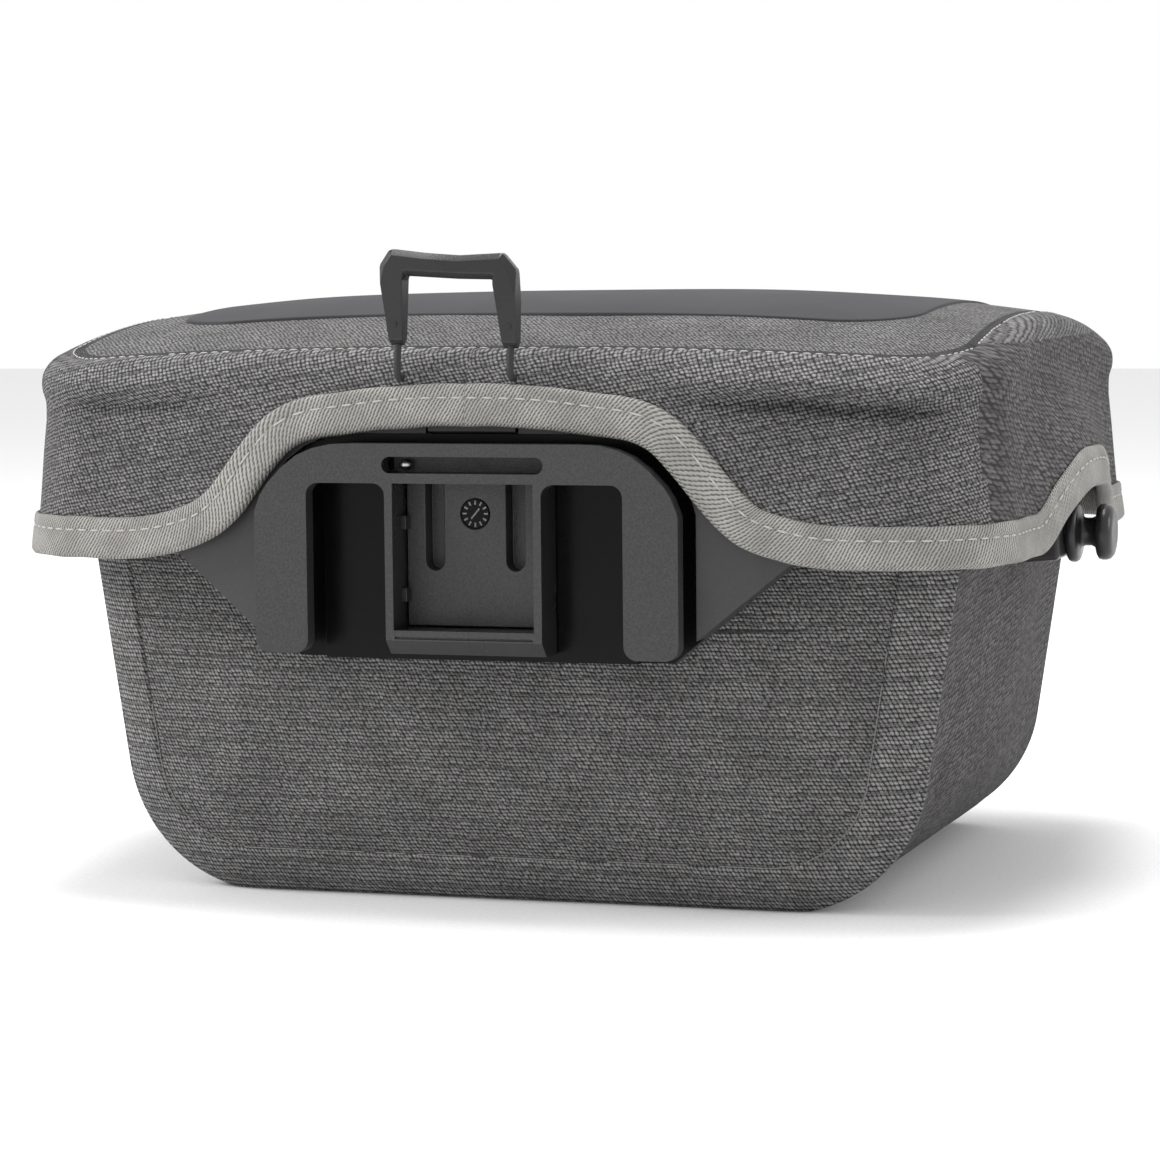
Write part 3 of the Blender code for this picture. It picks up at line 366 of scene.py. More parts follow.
def fill_twill(graph: Graph, source: bpy.types.Node) -> dict[str, bpy.types.NodeSocket]:
    """Draw the slanting ribs of a twill tape, each one laid from short threads.

    Args:
        graph: The group's graph.
        source: The group's input node.

    Returns:
        Sockets for the threads' height and the gaps' mask.
    """
    vector = source.outputs["Vector"]
    split = graph.node("SeparateXYZ")
    graph.feed(split.inputs[0], vector)
    bend = graph.sway(graph.noise(vector, 240.0, 2.0), 0.0009)
    x = graph.math("ADD", split.outputs[0], bend)
    y = split.outputs[1]
    slant = graph.math("ADD", x, graph.math("MULTIPLY", y, source.outputs["Slant"]))
    cross = graph.math("SUBTRACT", graph.math("MULTIPLY", x, 0.35), y)
    pitch = source.outputs["Pitch"]
    rib = graph.math("SINE", graph.math("DIVIDE", slant, graph.math("DIVIDE", pitch, math.tau)))
    thread = graph.math("SINE", graph.math("DIVIDE", cross, graph.math("DIVIDE", pitch, 1.2 * math.tau)))
    loose = graph.sway(graph.noise(vector, 1300.0, 2.0), 1.2)
    total = graph.math("ADD", graph.math("ADD", rib, graph.math("MULTIPLY", thread, 0.3)), loose)
    return {"Thread": graph.ramp(total, -1.2, 1.2), "Gap": graph.ramp(total, 0.1, -1.1)}


def fill_grain(graph: Graph, source: bpy.types.Node) -> dict[str, bpy.types.NodeSocket]:
    """Draw the fine sparkle of spark-eroded plastic, with faint large clouds.

    Args:
        graph: The group's graph.
        source: The group's input node.

    Returns:
        Sockets for the grain's height and the clouds.
    """
    vector = source.outputs["Vector"]
    fine = graph.noise(vector, source.outputs["Scale"], 3.0, 0.65)
    cloud = graph.noise(vector, 45.0, 3.0, 0.55)
    return {"Grain": fine, "Cloud": graph.ramp(cloud, 0.3, 0.7)}


def principled(name: str) -> tuple[bpy.types.Material, Graph, bpy.types.Node]:
    """Start a material with its Principled shader.

    Args:
        name: The material's name.

    Returns:
        The material, its graph and its shader.
    """
    made = bpy.data.materials.new(name)
    made.use_nodes = True
    return made, Graph(made.node_tree), made.node_tree.nodes["Principled BSDF"]


@dataclass(frozen=True)
class Knit:
    """Knitted or woven cloth that reads the piece's own cloth map, in metres."""

    name: str
    thread: tuple[float, float, float]
    hole: tuple[float, float, float]
    width: float = 0.00100
    height: float = 0.00092
    climb: float = 0.0
    wander: float = 0.0009
    uneven: float = 0.42
    depth: float = 0.0004
    roughness: float = 0.9
    streaks: float = 0.0

    def make(self) -> bpy.types.Material:
        """Build the cloth's material."""
        made, graph, shader = principled(self.name)
        cloth = graph.node("UVMap", uv_map="cloth").outputs[0]
        knit = graph.node("Group")
        sizes = {"Vector": None, "Width": 0.001, "Height": 0.00092}
        sizes |= {"Climb": 0.0, "Wander": 0.0009, "Uneven": 0.42}
        knit.node_tree = group("knit", sizes, ("Loop", "Hole", "Tone"), fill_knit)
        graph.feed(knit.inputs["Vector"], cloth)
        for size in ("Width", "Height", "Climb", "Wander", "Uneven"):
            knit.inputs[size].default_value = getattr(self, size.lower())
        bright = tuple(min(1.0, part * 1.6) for part in self.thread)
        dim = tuple(part * 0.55 for part in self.thread)
        tone = graph.ramp(knit.outputs["Tone"], 0.1, 0.95)
        thread = graph.mix(tone, (*dim, 1.0), (*bright, 1.0))
        worn = graph.node("Mix", data_type="RGBA", blend_type="MULTIPLY")
        worn.inputs[0].default_value = 1.0
        graph.feed(worn.inputs[6], thread)
        graph.feed(worn.inputs[7], graph.ramp(graph.noise(cloth, 60.0, 3.0), 0.25, 0.75, 0.84, 1.14))
        dark = knit.outputs["Hole"]
        if self.streaks > 0.0:
            runs = graph.math("MULTIPLY", self.drawn_threads(graph, cloth), self.streaks)
            dark = graph.math("MAXIMUM", dark, runs)
        graph.feed(shader.inputs["Base Color"], graph.mix(dark, worn.outputs[2], (*self.hole, 1.0)))
        shader.inputs["Roughness"].default_value = self.roughness
        shader.inputs["Specular IOR Level"].default_value = 0.25
        graph.feed(shader.inputs["Normal"], graph.bump(knit.outputs["Loop"], self.depth))
        return made

    def drawn_threads(self, graph: Graph, cloth: bpy.types.NodeSocket) -> bpy.types.NodeSocket:
        """Draw the thin dark runs of a few pulled courses.

        Args:
            graph: The material's graph.
            cloth: The cloth map's socket.

        Returns:
            The runs' mask.
        """
        stretch = graph.node("Mapping")
        stretch.inputs["Scale"].default_value = (0.02, 1.0, 1.0)
        graph.feed(stretch.inputs["Vector"], cloth)
        lines = graph.noise(stretch.outputs[0], 620.0, 1.0)
        split = graph.node("SeparateXYZ")
        graph.feed(split.inputs[0], cloth)
        low = graph.ramp(split.outputs[1], 0.044, 0.062)
        return graph.math("MULTIPLY", graph.ramp(lines, 0.60, 0.72), low)


@dataclass(frozen=True)
class Twill:
    """Woven tape with slanting ribs, read from the piece's own cloth map, in metres."""

    name: str
    thread: tuple[float, float, float]
    gap: tuple[float, float, float]
    slant: float = -0.55
    pitch: float = 0.0009

    def make(self) -> bpy.types.Material:
        """Build the tape's material."""
        made, graph, shader = principled(self.name)
        cloth = graph.node("UVMap", uv_map="cloth").outputs[0]
        twill = graph.node("Group")
        sizes = {"Vector": None, "Slant": -0.55, "Pitch": 0.0009}
        twill.node_tree = group("twill", sizes, ("Thread", "Gap"), fill_twill)
        graph.feed(twill.inputs["Vector"], cloth)
        twill.inputs["Slant"].default_value = self.slant
        twill.inputs["Pitch"].default_value = self.pitch
        dim = tuple(part * 0.72 for part in self.thread)
        worn = graph.ramp(graph.noise(cloth, 90.0, 3.0), 0.3, 0.7)
        thread = graph.mix(worn, (*dim, 1.0), (*self.thread, 1.0))
        graph.feed(shader.inputs["Base Color"], graph.mix(twill.outputs["Gap"], thread, (*self.gap, 1.0)))
        shader.inputs["Roughness"].default_value = 0.75
        shader.inputs["Specular IOR Level"].default_value = 0.3
        graph.feed(shader.inputs["Normal"], graph.bump(twill.outputs["Thread"], 0.00025))
        return made


@dataclass(frozen=True)
class Plastic:
    """Moulded plastic with a fine grain."""

    name: str
    colour: tuple[float, float, float]
    roughness: float
    grain: float = 0.00009
    scale: float = 1900.0
    speckle: float = 0.35
    shine: float = 0.5

    def make(self) -> bpy.types.Material:
        """Build the plastic's material."""
        made, graph, shader = principled(self.name)
        place = graph.node("TexCoord").outputs["Object"]
        skin = graph.node("Group")
        sizes = {"Vector": None, "Scale": 1900.0}
        skin.node_tree = group("moulded_grain", sizes, ("Grain", "Cloud"), fill_grain)
        graph.feed(skin.inputs["Vector"], place)
        skin.inputs["Scale"].default_value = self.scale
        pale = tuple(min(1.0, part * (1.0 + self.speckle)) for part in self.colour)
        deep = tuple(part * (1.0 - self.speckle) for part in self.colour)
        speck = graph.ramp(skin.outputs["Grain"], 0.35, 0.65)
        graph.feed(shader.inputs["Base Color"], graph.mix(speck, (*deep, 1.0), (*pale, 1.0)))
        rough = graph.ramp(skin.outputs["Cloud"], 0.0, 1.0, self.roughness - 0.05, self.roughness + 0.05)
        graph.feed(shader.inputs["Roughness"], rough)
        shader.inputs["Specular IOR Level"].default_value = self.shine
        graph.feed(shader.inputs["Normal"], graph.bump(skin.outputs["Grain"], self.grain))
        return made


@dataclass(frozen=True)
class Film:
    """Smooth coated film with fine ribs that follow the cloth map."""

    name: str
    colour: tuple[float, float, float]
    roughness: float = 0.55

    def make(self) -> bpy.types.Material:
        """Build the film's material."""
        made, graph, shader = principled(self.name)
        cloth = graph.node("UVMap", uv_map="cloth").outputs[0]
        split = graph.node("SeparateXYZ")
        graph.feed(split.inputs[0], cloth)
        rib = graph.math("SINE", graph.math("MULTIPLY", split.outputs[1], math.tau / 0.0014))
        cloud = graph.noise(cloth, 30.0, 3.0)
        pale = tuple(part * 1.25 for part in self.colour)
        tint = graph.mix(graph.ramp(cloud, 0.3, 0.7), (*self.colour, 1.0), (*pale, 1.0))
        graph.feed(shader.inputs["Base Color"], tint)
        shader.inputs["Roughness"].default_value = self.roughness
        shader.inputs["Specular IOR Level"].default_value = 0.12
        graph.feed(shader.inputs["Normal"], graph.bump(rib, 0.00002))
        return made


@dataclass(frozen=True)
class Plain:
    """A small plain finish, for thread, metal and cord."""

    name: str
    colour: tuple[float, float, float]
    roughness: float
    metallic: float = 0.0

    def make(self) -> bpy.types.Material:
        """Build the material with a light mottle."""
        made, graph, shader = principled(self.name)
        place = graph.node("TexCoord").outputs["Object"]
        mottle = graph.noise(place, 900.0, 2.0)
        deep = tuple(part * 0.8 for part in self.colour)
        graph.feed(shader.inputs["Base Color"], graph.mix(mottle, (*deep, 1.0), (*self.colour, 1.0)))
        shader.inputs["Roughness"].default_value = self.roughness
        shader.inputs["Metallic"].default_value = self.metallic
        return made


# Making of pieces


def finish(
    mesh: bmesh.types.BMesh,
    name: str,
    material: bpy.types.Material,
    slot: Slot,
    nodes: Sequence[str] = (),
    soft: bool = True,
) -> bpy.types.Object:
    """Turn a bmesh into a finished piece of the bag.

    Args:
        mesh: The piece's bmesh, which is freed.
        name: The piece's name.
        material: Its material.
        slot: The record's slot that the finish belongs to; not used.
        nodes: CAD nodes that the piece stands for.
        soft: Whether its faces are shaded smooth.

    Returns:
        The new object.
    """
    data = bpy.data.meshes.new(name)
    for face in mesh.faces:
        face.smooth = soft
    mesh.to_mesh(data)
    mesh.free()
    data.materials.append(material)
    made = bpy.data.objects.new(name, data)
    bpy.context.scene.collection.objects.link(made)
    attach(made, "root")
    if nodes:
        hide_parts(*nodes)
    LOG.info("%s: %d faces", name, len(data.polygons))
    return made


def thicken(piece: bpy.types.Object, wall: float) -> None:
    """Give a sheet its wall, inwards.

    Args:
        piece: The sheet.
        wall: Its thickness in millimetres.
    """
    modifier = piece.modifiers.new("wall", "SOLIDIFY")
    modifier.thickness = wall * MM
    modifier.offset = -1.0
    modifier.use_even_offset = False


def sheet(columns: int, rows: int, place: Place, cloth: Place) -> bmesh.types.BMesh:
    """Bend a flat grid into a sheet of cloth.

    Args:
        columns: Faces along the first direction.
        rows: Faces along the second direction.
        place: Gives a point of the sheet from two shares, each from 0 to 1.
        cloth: Gives the cloth map's coordinates there, in metres.

    Returns:
        The sheet, with edges that meet welded.
    """
    mesh = bmesh.new()
    bmesh.ops.create_grid(mesh, x_segments=columns, y_segments=rows, size=0.5)
    layer = mesh.loops.layers.uv.new("cloth")
    shares = {vert: (vert.co.x + 0.5, vert.co.y + 0.5) for vert in mesh.verts}
    for face in mesh.faces:
        for loop in face.loops:
            loop[layer].uv = cloth(*shares[loop.vert]).xy
    for vert, (first, second) in shares.items():
        vert.co = place(first, second)
    bmesh.ops.remove_doubles(mesh, verts=mesh.verts, dist=0.000005)
    return mesh


def upright(place: Place) -> Place:
    """Give the cloth map of an upright sheet, read square to the rider's view."""
    return lambda first, second: Vector((place(first, second).x, place(first, second).z, 0.0))


def level(place: Place) -> Place:
    """Give the cloth map of a level sheet, read from above."""
    return lambda first, second: Vector((place(first, second).x, place(first, second).y, 0.0))


def stitch(mesh: bmesh.types.BMesh, start: Vector, end: Vector, radius: float) -> None:
    """Add one stitch, a slim bead of thread with drawn ends.

    Args:
        mesh: The bmesh that holds the row of stitches.
        start: One end, in metres.
        end: The other end.
        radius: The thread's radius in metres.
    """
    along = end - start
    turn = along.to_track_quat("Z", "Y").to_matrix().to_4x4()
    shape = Matrix.Diagonal((radius, radius, along.length / 2, 1.0))
    matrix = Matrix.Translation((start + end) / 2) @ turn @ shape
    bmesh.ops.create_uvsphere(mesh, u_segments=6, v_segments=5, radius=1.0, matrix=matrix)


def extruded(outline: Sequence[tuple[float, float]], front: float, back: float) -> bmesh.types.BMesh:
    """Extrude a flat outline, seen from the rider's side, from a front to a back depth.

    Args:
        outline: Points of the outline as across and height.
        front: Depth of the front face behind the mount's face.
        back: Depth of the back face.

    Returns:
        The closed solid.
    """
    mesh = bmesh.new()
    verts = [mesh.verts.new(at(across, front, height)) for across, height in outline]
    face = mesh.faces.new(verts)
    grown = bmesh.ops.extrude_face_region(mesh, geom=[face])
    moved = [item for item in grown["geom"] if isinstance(item, bmesh.types.BMVert)]
    bmesh.ops.translate(mesh, verts=moved, vec=(0.0, (back - front) * MM, 0.0))
    bmesh.ops.recalc_face_normals(mesh, faces=mesh.faces)
    return mesh


def box(low: Sequence[float], high: Sequence[float]) -> bmesh.types.BMesh:
    """Make a box between two corners given as across, behind and height.

    Args:
        low: The lowest corner.
        high: The highest corner.

    Returns:
        The closed box.
    """
    mesh = bmesh.new()
    start, end = at(*low), at(*high)
    matrix = Matrix.Translation((start + end) / 2) @ Matrix.Diagonal((*(end - start), 1.0))
    bmesh.ops.create_cube(mesh, size=1.0, matrix=matrix)
    return mesh


def arc(
    centre: tuple[float, float], radius: float, start: float, end: float, steps: int = 8
) -> list[tuple[float, float]]:
    """Give points on an arc.

    Args:
        centre: The arc's centre.
        radius: Its radius.
        start: Start angle in degrees.
        end: End angle in degrees.
        steps: Number of straight runs.

    Returns:
        The points, both ends included.
    """
    angles = [math.radians(start + (end - start) * step / steps) for step in range(steps + 1)]
    return [(centre[0] + radius * math.cos(a), centre[1] + radius * math.sin(a)) for a in angles]


def mirrored(half: Sequence[tuple[float, float]]) -> list[tuple[float, float]]:
    """Close an outline from its right half, which runs upwards."""
    return list(half) + [(-across, height) for across, height in reversed(half) if across > 0.0]


def scratch(mesh: bmesh.types.BMesh, name: str) -> bpy.types.Object:
    """Turn a bmesh into a helper object that is removed later."""
    data = bpy.data.meshes.new(name)
    mesh.to_mesh(data)
    mesh.free()
    made = bpy.data.objects.new(name, data)
    bpy.context.scene.collection.objects.link(made)
    return made


def carve(
    solid: bmesh.types.BMesh,
    cuts: Sequence[bmesh.types.BMesh] = (),
    joins: Sequence[bmesh.types.BMesh] = (),
    edge: float = 0.35,
    segments: int = 2,
) -> bmesh.types.BMesh:
    """Join solids, cut others out and round every sharp edge.

    Args:
        solid: The solid to start from.
        cuts: Solids to cut out, after the joins.
        joins: Solids to join on.
        edge: Width of the rounded edges in millimetres.
        segments: Steps across each rounded edge.

    Returns:
        The finished solid.
    """
    base = scratch(solid, "base")
    helpers = []
    for operation, tools in (("UNION", joins), ("DIFFERENCE", cuts)):
        for tool in tools:
            helper = scratch(tool, "tool")
            helpers.append(helper)
            modifier = base.modifiers.new("shape", "BOOLEAN")
            modifier.operation = operation
            modifier.solver = "EXACT"
            modifier.object = helper
    bpy.context.view_layer.update()
    evaluated = base.evaluated_get(bpy.context.evaluated_depsgraph_get())
    mesh = bmesh.new()
    mesh.from_mesh(evaluated.to_mesh())
    for helper in (base, *helpers):
        bpy.data.objects.remove(helper)
    bmesh.ops.remove_doubles(mesh, verts=mesh.verts, dist=0.00001)
    bmesh.ops.dissolve_limit(mesh, angle_limit=math.radians(1.0), verts=mesh.verts, edges=mesh.edges)
    round_edges(mesh, edge, segments)
    return mesh


def round_edges(mesh: bmesh.types.BMesh, edge: float, segments: int = 2, sharp: float = 32.0) -> None:
    """Round a solid's sharp edges.

    Args:
        mesh: The solid.
        edge: Width of the rounds in millimetres.
        segments: Steps across each round.
        sharp: Angle in degrees from which an edge counts as sharp.
    """
    if edge <= 0.0:
        return
    edges = [item for item in mesh.edges if item.calc_face_angle(0.0) > math.radians(sharp)]
    bmesh.ops.bevel(
        mesh,
        geom=edges,
        offset=edge * MM,
        affect="EDGES",
        segments=segments,
        profile=0.5,
        material=-1,
        clamp_overlap=True,
    )


def weigh_normals(piece: bpy.types.Object) -> bpy.types.Object:
    """Keep a moulded piece's flat faces flat under smooth shading."""
    modifier = piece.modifiers.new("flat_faces", "WEIGHTED_NORMAL")
    modifier.keep_sharp = True
    modifier.weight = 100
    return piece


# The soft bag


@dataclass
class BodyForm:
    """Shape of the bag's body: two U-shaped panels and the gusset between them, in millimetres."""

    seam: float = 36.5
    depth: float = 152.0
    half_base: float = 98.7
    flare: float = 0.151
    corner: float = 37.0
    bulge: float = 16.5
    reach: float = 20.0
    front_bulge: float = 7.0
    blend: float = 8.0
    top: float = 134.0

    @property
    def corner_x(self) -> float:
        """Distance of the lower corner's centre from the middle."""
        return self.half_base + self.flare * self.corner - self.corner * math.hypot(1.0, self.flare)

    def half_width(self, height: float) -> float:
        """Give half the panels' width at a height.

        Args:
            height: Height above the bottom.

        Returns:
            Half the width.
        """
        tangent = self.corner * (1.0 - self.flare / math.hypot(1.0, self.flare))
        if height >= tangent:
            return self.half_base + self.flare * height
        return self.corner_x + math.sqrt(max(0.0, self.corner**2 - (self.corner - height) ** 2))

    def inside(self, across: float, height: float) -> float:
        """Give how far inside the panel's outline a point lies.

        Args:
            across: Distance from the middle.
            height: Height above the bottom.

        Returns:
            The distance to the outline.
        """
        across = abs(across)
        side = (self.half_base + self.flare * height - across) / math.hypot(1.0, self.flare)
        if across > self.corner_x and height < self.corner:
            return self.corner - math.hypot(across - self.corner_x, height - self.corner)
        if height < self.corner:
            return height
        if across > self.corner_x:
            return side
        return -self.blend * math.log(math.exp(-side / self.blend) + math.exp(-height / self.blend))

    def rear(self, across: float, height: float) -> float:
        """Give the depth of the rear panel, which swells towards the rider.

        Args:
            across: Distance from the middle.
            height: Height above the bottom.

        Returns:
            The depth behind the mount's face.
        """
        inside = max(0.0, self.inside(across, height))
        swell = self.bulge * (1.0 - math.exp(-inside / self.reach))
        turned = 1.1 * max(0.0, 1.0 - inside / 3.0) ** 2
        slack = 0.9 * ripple(across, height, 46.0, 2.0) * smooth(inside, 4.0, 30.0)
        return self.seam + turned - swell + slack

    def front(self, across: float, height: float) -> float:
        """Give the depth of the front panel.

        Args:
            across: Distance from the middle.
            height: Height above the bottom.

        Returns:
            The depth behind the mount's face.
        """
        inside = max(0.0, self.inside(across, height))
        swell = self.front_bulge * (1.0 - math.exp(-inside / self.reach))
        turned = 1.1 * max(0.0, 1.0 - inside / 3.0) ** 2
        slack = 1.2 * ripple(across, height, 52.0, 9.0) * smooth(inside, 4.0, 30.0)
        return self.seam + self.depth - turned + swell + slack

    def edge(self, share: float) -> tuple[float, float, float, float, float]:
        """Walk the U-shaped outline, from the upper right down and up to the upper left.

        Args:
            share: Share of the way along it.

        Returns:
            Across, height, the inward direction's across and height, and the distance walked.
        """
        length = math.hypot(1.0, self.flare)
        tangent = self.corner * (1.0 - self.flare / length)
        side = (self.top - tangent) * length
        turn = math.pi / 2 - math.atan(self.flare)
        bend = self.corner * turn
        total = 2 * (side + bend + self.corner_x)
        walked = share * total
        mirror = 1.0
        if walked > total / 2:
            walked = total - walked
            mirror = -1.0
        if walked < side:
            height = self.top - walked / length
            point = (self.half_base + self.flare * height, height, -1.0 / length, self.flare / length)
        elif walked < side + bend:
            angle = -math.atan(self.flare) - (walked - side) / self.corner
            cos, sin = math.cos(angle), math.sin(angle)
            point = (self.corner_x + self.corner * cos, self.corner + self.corner * sin, -cos, -sin)
        else:
            point = (side + bend + self.corner_x - walked, 0.0, 0.0, 1.0)
        return (mirror * point[0], point[1], mirror * point[2], point[3], share * total)


@dataclass
class Body:
    """The soft body: knitted panels, ribbed gusset and the raised band along the rear edge."""

    form: BodyForm
    panel: bpy.types.Material
    gusset: bpy.types.Material
    band: bpy.types.Material
    line: bpy.types.Material
    wall: float = 1.5
    band_width: float = 11.5
    band_height: float = 0.75

    def build(self) -> list[bpy.types.Object]:
        """Make the body's pieces.

        Returns:
            The pieces.
        """
        return [
            self.make_panel("rear_panel", self.form.rear, 1.0, (150, 100), ("body_shell",)),
            self.make_gusset(),
            self.make_panel("front_panel", self.form.front, -1.0, (120, 80)),
            self.make_band(),
            self.make_welt_line(),
        ]

    def height_at(self, share: float) -> float:
        """Give a row's height, with closer rows in the rounded corners."""
        split = 0.34
        if share < split:
            return self.form.corner * (1.0 - math.cos(share / split * math.pi / 2))
        return self.form.corner + (self.form.top - self.form.corner) * (share - split) / (1.0 - split)

    def make_panel(
        self,
        name: str,
        depth: Callable[[float, float], float],
        facing: float,
        grid: tuple[int, int],
        nodes: Sequence[str] = (),
    ) -> bpy.types.Object:
        """Make one of the two U-shaped panels.

        Args:
            name: The panel's name.
            depth: Gives its depth from across and height.
            facing: 1 where it faces the rider, -1 where it faces forwards.
            grid: Faces across and up.
            nodes: CAD nodes that it stands for.

        Returns:
            The panel.
        """

        def place(first: float, second: float) -> Vector:
            """Place a point of the panel."""
            height = self.height_at(second)
            even = facing * (2 * first - 1)
            across = (0.55 * math.sin(even * math.pi / 2) + 0.45 * even) * self.form.half_width(height)
            return at(across, depth(across, height), height)

        piece = finish(sheet(*grid, place, upright(place)), name, self.panel, Slot.FABRIC, nodes)
        thicken(piece, self.wall)
        return piece

    def make_gusset(self) -> bpy.types.Object:
        """Make the gusset that runs down, under the bag and up again."""
        form = self.form

        def place(first: float, second: float) -> Vector:
            """Place a point of the gusset."""
            across, height, inner_x, inner_z, walked = form.edge(first)
            depth = form.seam + 1.0 + second * (form.depth - 2.0)
            belly = 1.6 * math.sin(math.pi * second) ** 2 * smooth(height, 2.0, 30.0)
            slack = 1.1 * ripple(walked, depth, 38.0, 5.0) * smooth(min(second, 1 - second), 0.0, 0.15)
            out = (belly + slack) * smooth(height, 3.0, 14.0) - self.pucker(abs(across), height, second)
            return at(across - inner_x * out, depth, height - inner_z * out)

        def cloth(first: float, second: float) -> Vector:
            """Give the cloth map there."""
            return Vector((second * form.depth * MM, form.edge(first)[4] * MM, 0.0))

        piece = finish(sheet(220, 90, place, cloth), "gusset", self.gusset, Slot.FABRIC)
        thicken(piece, self.wall)
        return piece

    def pucker(self, across: float, height: float, second: float) -> float:
        """Give the small drawn folds where the gusset turns under the bag.

        Args:
            across: Distance from the middle.
            height: Height above the bottom.
            second: Share of the way from the rear seam to the front seam.

        Returns:
            How far the cloth is drawn in.
        """
        turn = math.atan2(self.form.corner - height, max(0.1, across - self.form.corner_x))
        corner = self.form.corner_x
        near = smooth(across, corner - 6.0, corner + 8.0) * smooth(height, 46.0, 30.0)
        rear, front = second, 1.0 - second
        fade = rear * math.exp(-rear * 12.0) + front * math.exp(-front * 12.0)
        return 16.0 * near * fade * (0.5 + 0.5 * math.sin(turn * 17.0 + second * 3.0))

    def make_band(self) -> bpy.types.Object:
        """Make the raised band along the rear panel's edge."""
        form = self.form
        section = (
            # inwards, raised
            (-0.9, -0.9),
            (-0.8, 0.1),
            (-0.2, 0.55),
            (1.0, 0.75),
            (self.band_width * 0.5, 0.70),
            (self.band_width - 0.9, 0.75),
            (self.band_width - 0.25, 0.60),
            (self.band_width, 0.30),
            (self.band_width + 0.05, -0.25),
            (self.band_width * 0.5, -0.30),
            (0.5, -0.60),
            (-0.9, -0.9),
        )
        table_in = [(index / (len(section) - 1), row[0]) for index, row in enumerate(section)]
        table_up = [(index / (len(section) - 1), row[1]) for index, row in enumerate(section)]

        def place(first: float, second: float) -> Vector:
            """Place a point of the band."""
            across, height, inner_x, inner_z, _ = form.edge(1.0 - first)
            inwards = curve(table_in, second)
            raised = curve(table_up, second) * self.band_height / 0.75
            x = across + inner_x * inwards
            z = max(0.0, height + inner_z * inwards)
            return at(x, form.rear(x, z) - raised, z)

        mesh = sheet(260, 22, place, upright(place))
        return finish(mesh, "rear_band_welt", self.band, Slot.FABRIC, ("rear_band",))

    def make_welt_line(self) -> bpy.types.Object:
        """Make the thin pale line along the band's inner edge, broken here and there.

        Returns:
            The line as one piece.
        """
        form = self.form
        mesh = bmesh.new()
        count = 180
        first, last = 0.16, 0.80
        inwards = self.band_width + 0.25
        for index in range(count):
            share = first + (last - first) * index / count
            if ripple(index * 1.0, 0.0, 6.0, 41.0) < -0.25:
                continue
            ends = []
            for part in (0.0, 1.1):
                across, height, inner_x, inner_z, _ = form.edge(share + part * (last - first) / count)
                x, z = across + inner_x * inwards, height + inner_z * inwards
                ends.append(at(x, form.rear(x, z) - 0.28, z))
            stitch(mesh, ends[0], ends[1], 0.00019)
        return finish(mesh, "welt_line", self.line, Slot.FABRIC)


REAR_ARCH: Table = (
    # share of half span, share of rise
    (0.0, 1.0),
    (0.114, 0.998),
    (0.227, 0.98),
    (0.341, 0.943),
    (0.432, 0.912),
    (0.489, 0.872),
    (0.534, 0.802),
    (0.591, 0.64),
    (0.648, 0.447),
    (0.693, 0.309),
    (0.75, 0.186),
    (0.807, 0.114),
    (0.869, 0.066),
    (0.92, 0.036),
    (1.0, 0.009),
    (1.12, 0.0),
)

ROLL: Sequence[tuple[float, float, float]] = (
    # below the seam, inwards, inwards over the mount
    (0.0, 10.3, 10.3),
    (0.35, 8.6, 8.4),
    (0.9, 6.9, 6.5),
    (1.9, 5.0, 4.5),
    (3.4, 3.5, 2.9),
    (5.4, 2.4, 1.8),
    (7.6, 2.1, 1.3),
    (9.6, 2.3, 1.0),
    (11.0, 2.8, 0.9),
    (12.6, 3.2, 0.85),
    (17.0, 3.3, 0.75),
)


